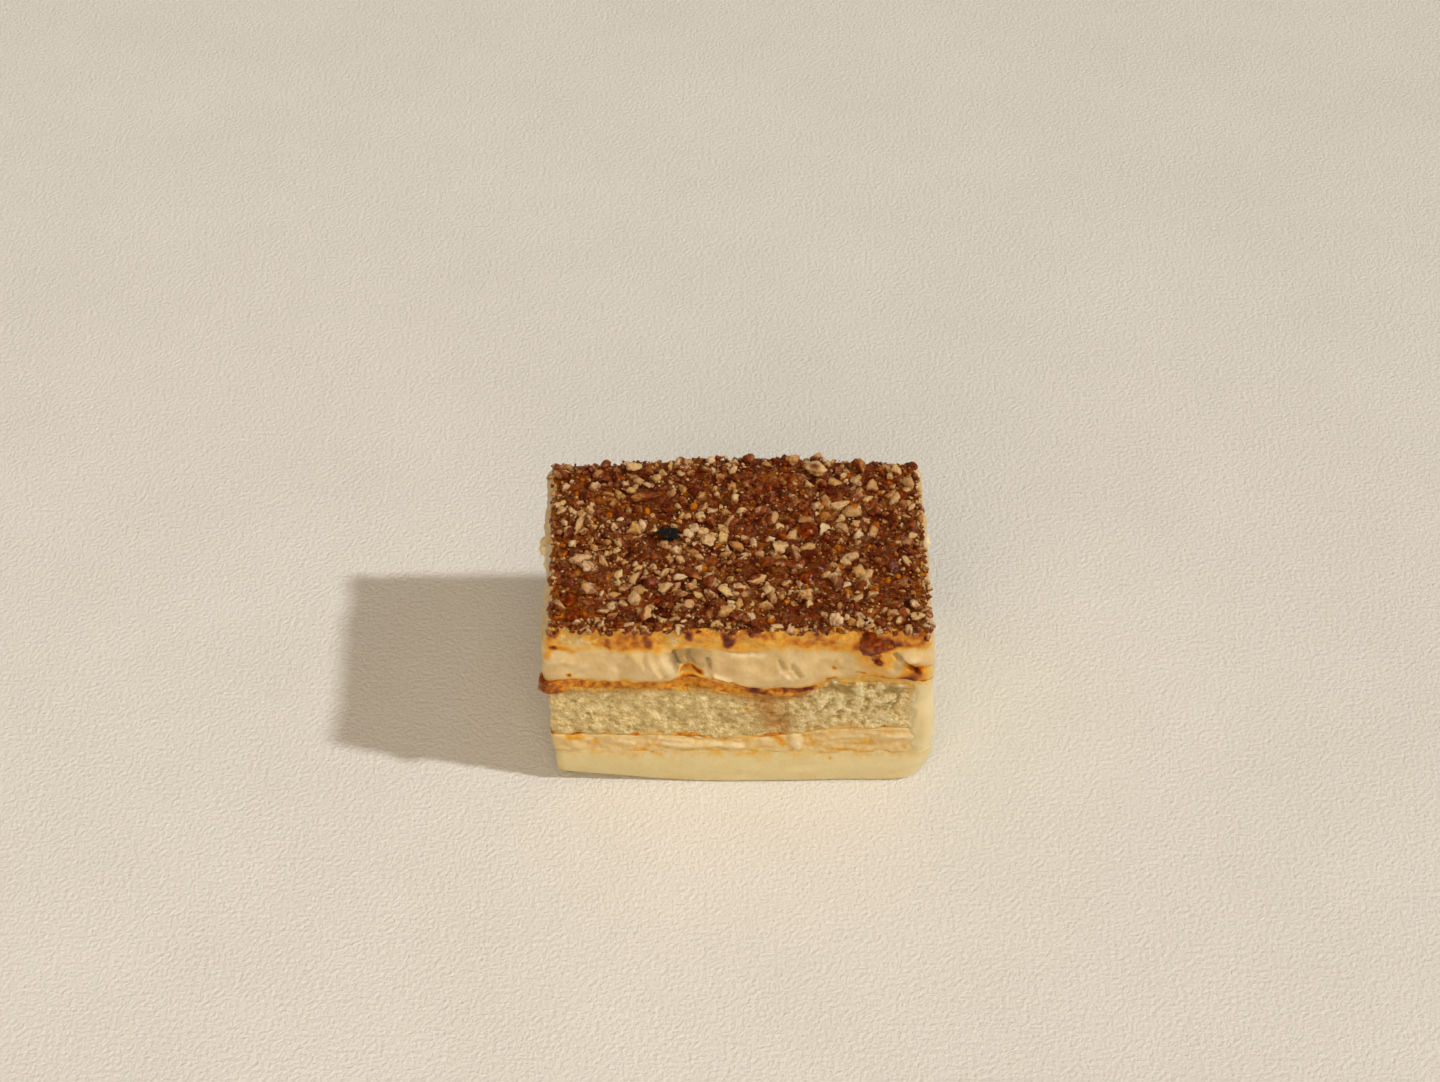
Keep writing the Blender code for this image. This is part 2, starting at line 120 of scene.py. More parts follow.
# Painted highlights on the thick cream's lobes, ridges and swells, and a few pale crumbs beside the hollow,
# marked the same way
CREAM_HIGHLIGHTS_AND_CRUMBS = (
    ((-14.4, 34.8), (-12.6, 30.6), 1.4, 0.7),
    ((-17.4, 34.6), (-15.4, 30.4), 0.9, 0.45),
    ((-19.8, 32.4), (-18.2, 30.0), 0.8, 0.4),
    ((-37.0, 33.6), (-34.0, 34.2), 0.9, 0.45),
    ((-24.4, 31.8), (-23.6, 31.2), 0.9, 0.3),
    ((-6.6, 31.0), (-6.2, 30.0), 0.8, 0.9),
    ((-4.4, 30.2), (-1.6, 28.6), 0.8, 0.8),
    ((-0.8, 35.6), (4.6, 35.4), 0.9, 0.55),
    ((8.8, 31.0), (10.4, 29.4), 1.2, 0.6),
    ((31.2, 34.2), (33.6, 31.8), 0.7, 0.8),
    ((32.6, 35.2), (35.4, 33.6), 1.5, 0.75),
    ((28.4, 32.4), (29.6, 31.6), 1.0, 0.35),
)
# Painted shade on the thick cream: in the slits by the hollow, on a lump in it, in the dents and crack, and
# under the lobes, marked the same way
CREAM_SHADES = (
    ((-13.3, 35.8), (-11.7, 31.9), 0.8, 0.9),
    ((-9.6, 34.8), (-8.6, 32.0), 1.0, 0.5),
    ((-5.7, 34.2), (-5.4, 32.0), 0.6, 0.6),
    ((-19.0, 27.6), (-13.5, 28.4), 0.7, 0.5),
    ((8.2, 33.8), (8.9, 31.8), 0.7, 0.35),
    ((10.6, 32.6), (12.2, 30.0), 0.8, 0.35),
    ((30.8, 35.4), (34.0, 31.4), 0.45, 0.7),
    ((20.0, 28.8), (27.0, 29.6), 1.4, 0.25),
)
SEAM_MARKS = (
    ((-39.0, 28.4), (-36.0, 25.2), 3.0, 0.2),
    ((2.0, 25.6), (5.6, 24.6), 1.4, 0.4),
    ((9.4, 25.8), (14.0, 25.8), 1.2, 0.35),
)
SPONGE_SOAKS = (
    ((1.0, 24.6), (13.0, 24.2), 2.8, 1.0),
    ((5.0, 23.5), (8.6, 15.5), 4.6, 1.0),
    ((1.4, 21.6), (1.9, 20.6), 0.7, 0.5),
    ((18.4, 29.0), (18.6, 26.0), 1.6, 0.5),
    ((22.0, 15.8), (28.4, 15.0), 1.0, 0.7),
    ((13.4, 15.2), (17.6, 14.8), 0.9, 0.7),
    ((33.4, 25.4), (32.2, 20.6), 1.1, 0.5),
    ((-37.0, 24.8), (-26.0, 25.4), 1.5, 0.35),
)
LOWER_LIGHTS = (
    ((-14.6, 10.6), (0.4, 9.9), 1.2, 1.0),
    ((-15.5, 12.0), (-9.0, 11.4), 0.7, 0.7),
    ((-23.4, 11.4), (-21.2, 10.6), 1.0, 0.75),
    ((10.9, 14.9), (12.1, 9.8), 1.5, 1.1),
    ((29.0, 13.0), (36.6, 12.3), 1.2, 1.1),
    ((18.6, 12.6), (24.0, 12.8), 0.9, 0.5),
    ((24.0, 8.6), (27.0, 8.2), 0.5, 0.6),
    ((-33.0, 10.6), (-31.4, 9.6), 1.0, 0.35),
    ((3.0, 12.4), (6.4, 11.8), 1.3, 0.4),
)
LOWER_MARKS = (
    ((6.8, 13.6), (9.2, 10.6), 1.3, 0.42),
    ((13.6, 13.2), (15.6, 10.2), 1.6, 0.34),
    ((14.0, 10.4), (15.0, 10.0), 0.9, 0.2),
    ((20.0, 8.8), (32.4, 8.0), 0.45, 0.7),
    ((-12.0, 9.0), (-4.0, 8.4), 0.8, 0.2),
    ((-20.5, 9.4), (-18.4, 8.6), 0.8, 0.35),
    ((-33.6, 12.8), (-31.0, 12.2), 1.1, 0.4),
    ((-28.6, 11.6), (-28.0, 9.8), 0.9, 0.25),
    ((-17.0, 10.4), (-14.0, 9.8), 0.9, 0.25),
    ((20.0, 10.8), (30.0, 10.6), 1.0, 0.14),
)

# Ridges, loose crumbs, slits and the crack in the thick cream, marked the same way
CREAM_STROKES = (
    ((-20.6, 35.6), (-17.4, 29.8), 1.3, 0.45),
    ((-17.4, 35.2), (-15.3, 30.2), 1.0, 0.5),
    ((-4.6, 30.0), (-1.6, 28.7), 0.7, 0.55),
    ((-5.8, 34.2), (-5.5, 32.0), 0.55, -0.8),
    ((-1.8, 36.4), (1.8, 35.8), 0.5, -0.5),
    ((30.6, 35.6), (34.1, 31.4), 0.8, -1.6),
    ((34.1, 31.4), (36.8, 31.8), 0.8, -0.9),
)
# Swells and dents in it: the middle of each as X and Z, its reach along each and its height
CREAM_SWELLS = (
    (LEFT_LOBE, 6, 5, 1.0),
    (RIGHT_LOBE, 11, 4.5, 0.7),
    ((0.5, 33.5), 4, 3.5, 0.5),
    ((33.9, 34.7), 3.0, 2.4, 1.0),
    ((29.3, 31.4), 3, 2.5, 0.5),
    (DRIP, 4.6, 5.2, 0.55),
    ((9.4, 29.9), 1.0, 0.9, 0.5),
    ((-22.8, 32.4), 1.3, 1.2, -0.45),
    ((2.6, 36.2), 1.6, 0.8, -0.4),
)
HOLLOW_BALLS = (
    ((-10.3, 33.6), 1.7, 2.3, 0.9),
    ((-7.6, 33.4), 1.6, 2.2, 0.8),
    ((-6.3, 30.7), 1.0, 0.9, 0.8),
)

# Dark pools of glaze on the topping: the middle and the reach of each along X, then along Y
GLAZE_POOLS = (
    ((10.5, 8), (17.0, 9)),
    ((-19.0, 9), (12.5, 6)),
    ((3.0, 10), (-6.5, 8)),
    ((-30.5, 8), (-14.0, 9)),
    ((31.0, 9), (-13.0, 8)),
    ((10.0, 8), (-20.0, 5)),
)

# Points along the front, each end and the back of a ring, and round each corner
COLUMNS = (250, 110, 130, 9)
SPONGE_COLUMNS = (310, 150, 200, 9)
CREAM_COLUMNS = (310, 110, 150, 9)
COAT_COLUMNS = (14, 130, 14, 8)
BED_COLUMNS = (250, 150, 200, 9)
RING_STEP = 0.3  # between the rings on top of the topping
LAST_RING = 24.0  # how far in the innermost of them lies
OVERLAP = 0.3  # a layer runs this far behind its neighbour's edge


def smooth(low, high, value):
    share = np.clip((value - low) / (high - low), 0, 1)
    return share * share * (3 - 2 * share)


def bump(value, centre, reach):
    """1 at the centre, falling smoothly to 0 at the reach."""
    share = np.clip(np.abs(value - centre) / reach, 0, 1)
    return (1 - share * share) ** 2


def spot(x, z, place, reach_x, reach_z):
    """1 at a place on the front cut, falling smoothly to 0 at the reach each way."""
    share = np.clip(np.hypot((x - place[0]) / reach_x, (z - place[1]) / reach_z), 0, 1)
    return (1 - share * share) ** 2


def stroke(x, z, start, end, reach):
    """1 along a straight stroke on the front cut, falling smoothly to 0 at the reach."""
    along = np.array(end) - np.array(start)
    share = np.clip(((x - start[0]) * along[0] + (z - start[1]) * along[1]) / (along @ along), 0, 1)
    gap = np.hypot(x - start[0] - share * along[0], z - start[1] - share * along[1])
    return (1 - np.clip(gap / reach, 0, 1) ** 2) ** 2


def frontness(y):
    """1 on the front cut and 0 from the middle of the block to the back."""
    share = np.clip(-2 * y / DEPTH, 0, 1)
    return share * share * (3 - 2 * share)


def ripple(x, y, z, scale, seed):
    """Smooth noise from about -1 to 1."""
    x, y, z = np.broadcast_arrays(x, y, z)
    places = zip((x / scale + seed).ravel(), (y / scale + 2.7 * seed).ravel(), (z / scale).ravel())
    return np.array([noise.noise(place) for place in places]).reshape(x.shape)


def waves(x, y, z, *parts):
    """A sum of ripples, each given as its height, its scale and its seed."""
    return sum(height * ripple(x, y, z, scale, seed) for height, scale, seed in parts)


def hashed(cell, seed):
    """Four random numbers from 0 to 1 for each whole-number place."""
    mask = np.uint64(0xFFFFFFFF)
    key = cell.astype(np.int64).astype(np.uint64) * np.array([73856093, 19349663, 83492791], np.uint64)
    mixed = key[:, 0] ^ key[:, 1] ^ key[:, 2]
    mixed = (mixed ^ np.uint64(seed * 2654435761 % 2**32)) & mask
    draws = []
    for _ in range(4):
        mixed ^= mixed >> np.uint64(16)
        mixed = mixed * np.uint64(0x7FEB352D) & mask
        mixed ^= mixed >> np.uint64(15)
        mixed = mixed * np.uint64(0x846CA68B) & mask
        mixed ^= mixed >> np.uint64(16)
        draws.append(mixed / float(mask))
        mixed = (mixed + np.uint64(0x9E3779B9)) & mask
    return np.stack(draws, axis=1)


def cells(x, y, z, size, seed):
    """The nearest random cell: how far off its middle and its border are, and its own number."""
    x, y, z = np.broadcast_arrays(x, y, z)
    place = np.stack([x.ravel(), y.ravel(), z.ravel()], axis=1) / size
    corner = np.floor(place)
    nearest = np.full(len(place), 9.0)
    second = np.full(len(place), 9.0)
    number = np.zeros(len(place))
    for step in np.ndindex(3, 3, 3):
        cell = corner + np.array(step) - 1
        draws = hashed(cell, seed)
        gap = np.linalg.norm(place - cell - draws[:, :3], axis=1)
        closer = gap < nearest
        second = np.where(closer, nearest, np.minimum(second, gap))
        number = np.where(closer, draws[:, 3], number)
        nearest = np.where(closer, gap, nearest)
    return nearest.reshape(x.shape), (second - nearest).reshape(x.shape), number.reshape(x.shape)


def edge_share(x, y):
    """1 on the block's sides, falling evenly to 0 where the flat middle begins."""
    inside = np.minimum(WIDTH / 2 - np.abs(x), DEPTH / 2 - np.abs(y))
    return np.clip(1 - inside / EDGE_BAND, 0, 1)


def strokes(x, z, marks):
    """The strength of a set of marks on the front cut."""
    return sum(strength * stroke(x, z, start, end, reach) for start, end, reach, strength in marks)


def spots(x, z, places):
    """The height of a set of round swells on the front cut."""
    return sum(height * spot(x, z, place, reach_x, reach_z) for place, reach_x, reach_z, height in places)


def marked(x, z, marks):
    """The strength of a set of marks on the front cut, their edges bent a little."""
    bent_x = x + 0.45 * ripple(x, 0, z, 1.5, 127)
    bent_z = z + 0.35 * ripple(x, 0, z, 1.3, 128)
    return strokes(bent_x, bent_z, marks)


def base_top(x, y):
    return BASE_TOP + 0.5 * ripple(x, y, 0, 15, 11) * edge_share(x, y)


def lower_line(x, y):
    climb = np.clip((x - 4) / 20, 0, 1)
    front = 2.2 * climb - 1.2 * bump(x, 1, 17)
    wave = waves(x, y, 0, (0.5, 13, 23), (0.35, 3.5, 24))
    return LOWER_LINE + (wave + front * frontness(y)) * edge_share(x, y)


def sponge_bottom(x, y):
    thick = LOWER_LINE_THICK * (0.75 + 0.5 * ripple(x, y, 0, 4, 25))
    return lower_line(x, y) + thick


def sponge_top(x, y):
    front = 1.4 * bump(x, 26, 13) - 1.9 * bump(x, 5, 15) + 1.5 * bump(x, 18.3, 2.2)
    front = front - 0.35 * smooth(20, 13, x)
    wave = waves(x, y, 0, (0.6, 14, 37), (0.45, 3.2, 38))
    return SPONGE_TOP + (wave + front * frontness(y)) * edge_share(x, y)


def cream_bottom(x, y):
    pool = bump(x, HOLLOW[0], 6) - 0.5 * bump(x, 8, 12) - 1.1 * bump(x, 18.3, 2.6)
    pool = pool + 0.8 * smooth(18, 10, x)
    thick = CARAMEL_THICK * (0.85 + 0.5 * ripple(x, y, 0, 5, 39))
    return sponge_top(x, y) + thick + pool * frontness(y) * edge_share(x, y)


def cream_top(x, y):
    return CREAM_TOP + 0.4 * ripple(x, y, 0, 12, 53) * edge_share(x, y)


def topping_top(x, y):
    heap = 2.1 * bump(x, 2, 30) * bump(y, 20, 22)
    rim = (0.7 - 1.1 * smooth(-19, -24, y)) * edge_share(x, y) ** 4
    return TOPPING_TOP + heap + 0.45 * ripple(x, y, 0, 7, 71) - rim


def foot(x, y):
    curl = np.clip((-x - 8) / 28, 0, 1) ** 1.6
    return FOOT_LIFT * curl * (0.35 + 0.65 * frontness(y))


def outline(insets, radii, columns=COLUMNS):
    """The outline from above, counterclockwise from the front left corner, with its outward normals."""
    left, right, front, back = insets
    low_x, high_x = left - WIDTH / 2, WIDTH / 2 - right
    low_y, high_y = front - DEPTH / 2, DEPTH / 2 - back
    along_front, along_end, along_back, round_corner = columns
    corners = (
        (low_x, low_y, 1, 1, radii[0], math.pi),
        (high_x, low_y, -1, 1, radii[1], 1.5 * math.pi),
        (high_x, high_y, -1, -1, radii[2], 0),
        (low_x, high_y, 1, -1, radii[3], 0.5 * math.pi),
    )
    counts = (along_front, along_end, along_back, along_end)
    points, normals = [], []
    for x, y, in_x, in_y, radius, start in corners:
        angle = start + np.linspace(0, math.pi / 2, round_corner)
        out = np.stack([np.cos(angle), np.sin(angle)], axis=1)
        points.append(np.array([x + in_x * radius, y + in_y * radius]) + radius * out)
        normals.append(out)
    ring, facing = [], []
    for i, count in enumerate(counts):
        start, end = points[i][-1], points[(i + 1) % 4][0]
        share = np.linspace(0, 1, count + 2)[1:-1, None]
        ring += [points[i], start + (end - start) * share]
        facing += [normals[i], np.repeat(normals[i][-1:], count, axis=0)]
    return np.concatenate(ring), np.concatenate(facing)


class Wall:
    """The side of a layer as a grid of points, one row for each level from its foot to its top."""

    def __init__(self, low, high, shape_at, levels, columns=COLUMNS):
        rows = [outline(*shape_at(level), columns) for level in levels]
        ring = np.array([row[0] for row in rows])
        facing = np.array([row[1] for row in rows])
        self.level = np.array(levels)[:, None] * np.ones(ring.shape[1])
        self.x, self.y = ring[:, :, 0], ring[:, :, 1]
        self.out_x, self.out_y = facing[:, :, 0], facing[:, :, 1]
        self.low, self.high = low(self.x, self.y), high(self.x, self.y)
        self.z = self.low + (self.high - self.low) * self.level
        self.front = np.clip(-self.out_y, 0, 1) * frontness(self.y)
        self.columns = columns

    def push(self, amount):
        """The wall's points moved outwards by an amount."""
        return np.stack([self.x + self.out_x * amount, self.y + self.out_y * amount, self.z], axis=2)

    def rounded(self, at_foot, at_top):
        """How far the wall is drawn in where it curls under and over, by radii at its foot and top."""
        below = np.clip(1 - (self.z - self.low) / at_foot, 0, 1)
        above = np.clip(1 - (self.high - self.z) / at_top, 0, 1)
        return -at_foot * (1 - np.sqrt(1 - below**2)) - at_top * (1 - np.sqrt(1 - above**2))

    def fade_at_coat(self):
        """0 where the layer meets the cream on the right end."""
        return np.clip((WIDTH / 2 - COAT_THICK - 0.3 - self.x) / 2, 0, 1)

    def middle(self, row):
        """The ring where a layer's cap turns flat, level with one of the wall's rows."""
        ring, _ = outline((EDGE_BAND + 0.2,) * 4, (1.6,) * 4, self.columns)
        height = np.full((len(ring), 1), float(self.z[row].mean()))
        return np.hstack([ring, height])


def even_levels(height, spacing):
    return np.linspace(0, 1, max(int(round(height / spacing)), 2) + 1)


def mesh_object(name, points, faces, look, slot, **values):
    """A smooth mesh object on the root body, with a number for each point under each name."""
    mesh = bpy.data.meshes.new(name)
    mesh.from_pydata((np.asarray(points) * MM).tolist(), [], faces)
    for key, numbers in values.items():
        layer = mesh.attributes.new(key, "FLOAT", "POINT")
        layer.data.foreach_set("value", np.asarray(numbers, dtype=np.float32).ravel())
    mesh.materials.append(look)
    mesh.shade_smooth()
    mesh.validate()
    obj = bpy.data.objects.new(name, mesh)
    bpy.context.scene.collection.objects.link(obj)
    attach(obj, "root")
    return obj


def lofted(name, rings, look, slot, **values):
    """A closed mesh through rings from the bottom up, with a flat cap at each end."""
    rings = np.asarray(rings)
    rows, columns = rings.shape[:2]
    i = np.arange(rows - 1)[:, None] * columns
    j = np.arange(columns)[None, :]
    k = (j + 1) % columns
    quads = np.stack([i + j, i + k, i + columns + k, i + columns + j], axis=2).reshape(-1, 4)
    faces = quads.tolist()
    faces.append(list(range(columns - 1, -1, -1)))
    faces.append([(rows - 1) * columns + c for c in range(columns)])
    return mesh_object(name, rings.reshape(-1, 3), faces, look, slot, **values)


def layer_object(name, wall, amount, look, slot, **values):
    """A layer from its wall pushed out by an amount, closed by a flat middle below and above."""
    rings = [wall.middle(0), *wall.push(amount), wall.middle(-1)]
    padded = {key: np.vstack([grid[:1], grid, grid[-1:]]) for key, grid in values.items()}
    return lofted(name, rings, look, slot, **padded)


# Materials


class Look:
    """A material with one Principled shader, and the nodes that colour it."""

    def __init__(self, name, roughness, specular, glow=None):
        """The glow of light spread inside: its weight, the reach of each colour and its scale in mm."""
        self.made = bpy.data.materials.new(name)
        self.made.use_nodes = True
        self.nodes, self.links = self.made.node_tree.nodes, self.made.node_tree.links
        self.shader = self.nodes["Principled BSDF"]
        self.shader.inputs["Roughness"].default_value = roughness
        self.shader.inputs["Specular IOR Level"].default_value = specular
        if glow:
            weight, reach, scale = glow
            self.shader.inputs["Subsurface Weight"].default_value = weight
            self.shader.inputs["Subsurface Radius"].default_value = reach
            self.shader.inputs["Subsurface Scale"].default_value = scale * MM

    def fill(self, socket, value):
        """A socket joined to another node, or set to a colour or a number."""
        if isinstance(value, bpy.types.NodeSocket):
            self.links.new(value, socket)
        elif isinstance(value, tuple):
            socket.default_value = (*value, 1)
        else:
            socket.default_value = value

    def paint(self, colour):
        self.fill(self.shader.inputs["Base Color"], colour)

    def drive(self, name, value):
        self.fill(self.shader.inputs[name], value)

    def number(self, name):
        """A number that the mesh holds for each of its points."""
        node = self.nodes.new("ShaderNodeAttribute")
        node.attribute_type = "GEOMETRY"
        node.attribute_name = name
        return node.outputs["Fac"]

    def placed(self, kind, scale):
        """A texture node in the object's own coordinates, its size in millimetres."""
        node = self.nodes.new(kind)
        node.inputs["Scale"].default_value = 1 / (scale * MM)
        self.links.new(self.nodes.new("ShaderNodeTexCoord").outputs["Object"], node.inputs["Vector"])
        return node

    def noise(self, scale, detail=3.0, roughness=0.5):
        node = self.placed("ShaderNodeTexNoise", scale)
        node.inputs["Detail"].default_value = detail
        node.inputs["Roughness"].default_value = roughness
        return node.outputs["Fac"]

    def holes(self, scale):
        """The distance to the middle of the nearest random cell."""
        return self.placed("ShaderNodeTexVoronoi", scale).outputs["Distance"]

    def ramp(self, factor, stops):
        node = self.nodes.new("ShaderNodeValToRGB")
        elements = node.color_ramp.elements
        while len(elements) < len(stops):
            elements.new(0.5)
        for element, (position, colour) in zip(elements, stops):
            element.position = position
            element.color = (*colour, 1)
        self.links.new(factor, node.inputs["Fac"])
        return node.outputs["Color"]

    def mix(self, factor, first, second, blend="MIX"):
        node = self.nodes.new("ShaderNodeMix")
        node.data_type = "RGBA"
        node.blend_type = blend
        for index, value in ((0, factor), (6, first), (7, second)):
            self.fill(node.inputs[index], value)
        return node.outputs[2]

    def maths(self, operation, first, second):
        node = self.nodes.new("ShaderNodeMath")
        node.operation = operation
        self.fill(node.inputs[0], first)
        self.fill(node.inputs[1], second)
        return node.outputs[0]

    def spread(self, value, low, high, to_low=0.0, to_high=1.0):
        """A value between low and high mapped evenly to another range, and held there."""
        node = self.nodes.new("ShaderNodeMapRange")
        for name, end in (("From Min", low), ("From Max", high), ("To Min", to_low), ("To Max", to_high)):
            node.inputs[name].default_value = end
        self.links.new(value, node.inputs["Value"])
        return node.outputs["Result"]

    def relief(self, height, depth, strength=1.0):
        """Fine relief in the shading, with the depth of its waves in millimetres."""
        node = self.nodes.new("ShaderNodeBump")
        node.inputs["Distance"].default_value = depth * MM
        node.inputs["Strength"].default_value = strength
        self.links.new(height, node.inputs["Height"])
        self.links.new(node.outputs["Normal"], self.shader.inputs["Normal"])


# The cream's pale and deep colours
CREAM = ((0.74, 0.575, 0.31), (0.60, 0.42, 0.175))
CUSTARD = ((0.70, 0.60, 0.335), (0.655, 0.545, 0.275))
LOWER_CREAM = ((0.75, 0.58, 0.30), (0.69, 0.49, 0.205))
# Pale cream, which on the thick cream also paints its highlights
PALE_CREAM_AND_HIGHLIGHT = (0.82, 0.68, 0.42)

# From thin amber stain to thick dark caramel
CARAMEL_STOPS = (
    (0.0, (0.66, 0.42, 0.11)),
    (0.3, (0.70, 0.36, 0.04)),
    (0.5, (0.61, 0.23, 0.012)),
    (0.72, (0.33, 0.085, 0.004)),
    (1.0, (0.10, 0.013, 0.001)),
)
# The dark glaze between the nuts, and the crumbs of nut held in it
POOL_STOPS = (
    (0.0, (0.035, 0.0025, 0.0002)),
    (0.45, (0.08, 0.007, 0.0003)),
    (0.8, (0.19, 0.030, 0.001)),
    (1.0, (0.32, 0.085, 0.003)),
)
HELD_CRUMB_STOPS = (
    (0.0, (0.06, 0.005, 0.0004)),
    (0.5, (0.13, 0.024, 0.001)),
    (0.8, (0.28, 0.10, 0.018)),
    (1.0, (0.50, 0.27, 0.09)),
)
BEAD_STOPS = (
    (0.0, (0.05, 0.004, 0.0002)),
    (0.5, (0.20, 0.029, 0.0004)),
    (1.0, (0.46, 0.14, 0.003)),
)
SPONGE_STOPS = (
    (0.0, (0.50, 0.37, 0.145)),
    (0.45, (0.68, 0.525, 0.24)),
    (1.0, (0.90, 0.75, 0.43)),
)
# Pecan flesh from browned to pale, in a warm and a golden kind
WARM_FLESH_STOPS = (
    (0.0, (0.18, 0.05, 0.007)),
    (0.35, (0.36, 0.155, 0.05)),
    (0.7, (0.54, 0.345, 0.175)),
    (1.0, (0.71, 0.53, 0.33)),
)
GOLDEN_FLESH_STOPS = (
    (0.0, (0.20, 0.06, 0.005)),
    (0.35, (0.40, 0.17, 0.022)),
    (0.7, (0.56, 0.335, 0.095)),
    (1.0, (0.69, 0.49, 0.205)),
)
BURNT = (0.008, 0.0065, 0.005)


def shaded(colour, share):
    return tuple(share * c for c in colour)


def caramel_over(look, base, breakup_scale=1.2):
    """The base colour under caramel: the mesh says how much, and noise breaks its edge up."""
    amount = look.number("caramel")
    wobble = look.spread(look.noise(breakup_scale, 4), 0.25, 0.75, -0.16, 0.16)
    held = look.spread(amount, 0.0, 0.12)
    broken = look.maths("ADD", amount, look.maths("MULTIPLY", wobble, held))
    colour = look.ramp(look.spread(broken, 0.15, 1.0), CARAMEL_STOPS)
    return look.mix(look.spread(broken, 0.02, 0.3), base, colour), broken


def cream_base(look, pale, deep):
    """Pale cream with deeper patches and faint specks."""
    base = look.mix(look.spread(look.noise(3.6, 4, 0.6), 0.3, 0.7), pale, deep)
    return look.mix(look.spread(look.noise(0.8), 0.62, 0.8, 0.0, 0.35), base, shaded(deep, 0.72))


def cream_material(name, pale, deep, glow=0.35, roughness=0.34, depth=0.18):
    look = Look(name, roughness, 0.3, (glow, (1.0, 0.6, 0.3), 1.4))
    base = cream_base(look, pale, deep)
    # Paler cream where the white value says: real pale cream, and on the thick cream mostly painted highlight
    base = look.mix(look.number("white"), base, PALE_CREAM_AND_HIGHLIGHT)
    # Painted shade where the shade value says
    base = look.mix(look.number("shade"), base, shaded(deep, 0.5))
    colour, broken = caramel_over(look, base)
    look.paint(colour)
    look.drive("Roughness", look.spread(broken, 0.1, 0.7, roughness, 0.14))
    look.relief(look.maths("ADD", look.noise(0.9, 5, 0.6), look.noise(3.0, 2)), depth)
    return look.made


def sponge_material():
    look = Look("sponge_crumb", 0.85, 0.25, (0.25, (1.0, 0.7, 0.4), 1.0))
    base = look.ramp(look.spread(look.noise(1.5, 5, 0.6), 0.34, 0.66), SPONGE_STOPS)
    # Painted shade at the middle of each small cell, where the fine relief dips
    holes = look.holes(0.55)
    base = look.mix(look.spread(holes, 0.32, 0.05, 0.0, 0.3), base, (0.42, 0.30, 0.12))
    # Painted shade between the flakes and in the pores, then caramel soak and cream, each where the mesh says
    for name, colour in (
        ("olive", (0.36, 0.26, 0.085)),
        ("pore", (0.42, 0.30, 0.11)),
        ("soak", (0.43, 0.20, 0.042)),
        ("cream", (0.77, 0.645, 0.365)),
    ):
        base = look.mix(look.number(name), base, colour)
    colour, broken = caramel_over(look, base)
    look.paint(colour)
    look.drive("Roughness", look.spread(broken, 0.1, 0.7, 0.85, 0.25))
    look.relief(look.maths("ADD", look.noise(0.6, 5, 0.7), holes), 0.35)
    return look.made


def seam_material():
    look = Look("caramel_seam_looks", 0.3, 0.25)
    base = look.mix(look.noise(2.0), (0.62, 0.43, 0.17), (0.54, 0.33, 0.10))
    colour, broken = caramel_over(look, base, 0.8)
    look.paint(colour)
    look.drive("Roughness", look.spread(broken, 0.1, 0.6, 0.5, 0.16))
    look.relief(look.noise(0.8, 5, 0.6), 0.3)
    return look.made


def bed_material():
    """Glossy caramel full of pecan crumbs: amber at its sides, darker between the pieces on top."""
    look = Look("caramel_bed_looks", 0.12, 0.45)
    side, _ = caramel_over(look, cream_base(look, *CREAM))
    pool = look.ramp(look.spread(look.noise(3.2, 4), 0.3, 0.72), POOL_STOPS)
    clear = look.spread(look.noise(1.1, 4), 0.35, 0.65)
    clear_amber = look.mix(clear, (0.13, 0.018, 0.0005), (0.40, 0.12, 0.006))
    amber = look.mix(look.number("amber"), pool, clear_amber)
    golden = look.spread(look.noise(4.0, 4, 0.6), 0.48, 0.64, 0.0, 0.6)
    amber = look.mix(golden, amber, (0.17, 0.06, 0.005))
    held = look.ramp(look.number("crumb"), HELD_CRUMB_STOPS)
    speckle = look.spread(look.noise(0.6), 0.35, 0.65, 0.05, 0.65)
    top = look.mix(look.maths("MULTIPLY", speckle, look.number("grain")), amber, held)
    ragged = look.spread(look.noise(0.9, 4), 0.3, 0.7, -0.35, 0.35)
    edge = look.maths("ADD", look.number("top"), ragged)
    look.paint(look.mix(look.spread(edge, 0.3, 0.7), side, top))
    look.relief(look.noise(0.7, 4), 0.5)
    return look.made


def pecan_material():
    """Pecan flesh and skin, browned and glossed where the caramel holds it."""
    look = Look("pecan_looks", 0.42, 0.5, (0.5, (1.0, 0.5, 0.22), 1.1))
    tone = look.number("tone")
    warm, golden = look.ramp(tone, WARM_FLESH_STOPS), look.ramp(tone, GOLDEN_FLESH_STOPS)
    flesh = look.mix(look.number("hue"), warm, golden)
    grain = look.spread(look.noise(0.6, 4, 0.6), 0.42, 0.75, 0.0, 0.55)
    flesh = look.mix(grain, flesh, (0.32, 0.13, 0.03))
    skin_tone = look.spread(look.noise(1.0, 4), 0.35, 0.65)
    skin = look.mix(skin_tone, (0.10, 0.016, 0.002), (0.27, 0.065, 0.008))
    colour = look.mix(look.number("skin"), flesh, skin)
    glaze = look.number("glaze")
    glazed = look.mix(0.95, colour, (0.52, 0.22, 0.04), "MULTIPLY")
    syrup = look.mix(0.5, glazed, (0.10, 0.010, 0.0002))
    colour = look.mix(glaze, colour, syrup)
    look.paint(look.mix(look.number("burnt"), colour, BURNT))
    look.drive("Roughness", look.spread(glaze, 0.0, 0.8, 0.42, 0.13))
    look.drive("Specular IOR Level", look.spread(glaze, 0.0, 0.8, 0.2, 0.42))
    look.relief(look.noise(0.5, 4, 0.6), 0.2)
    return look.made


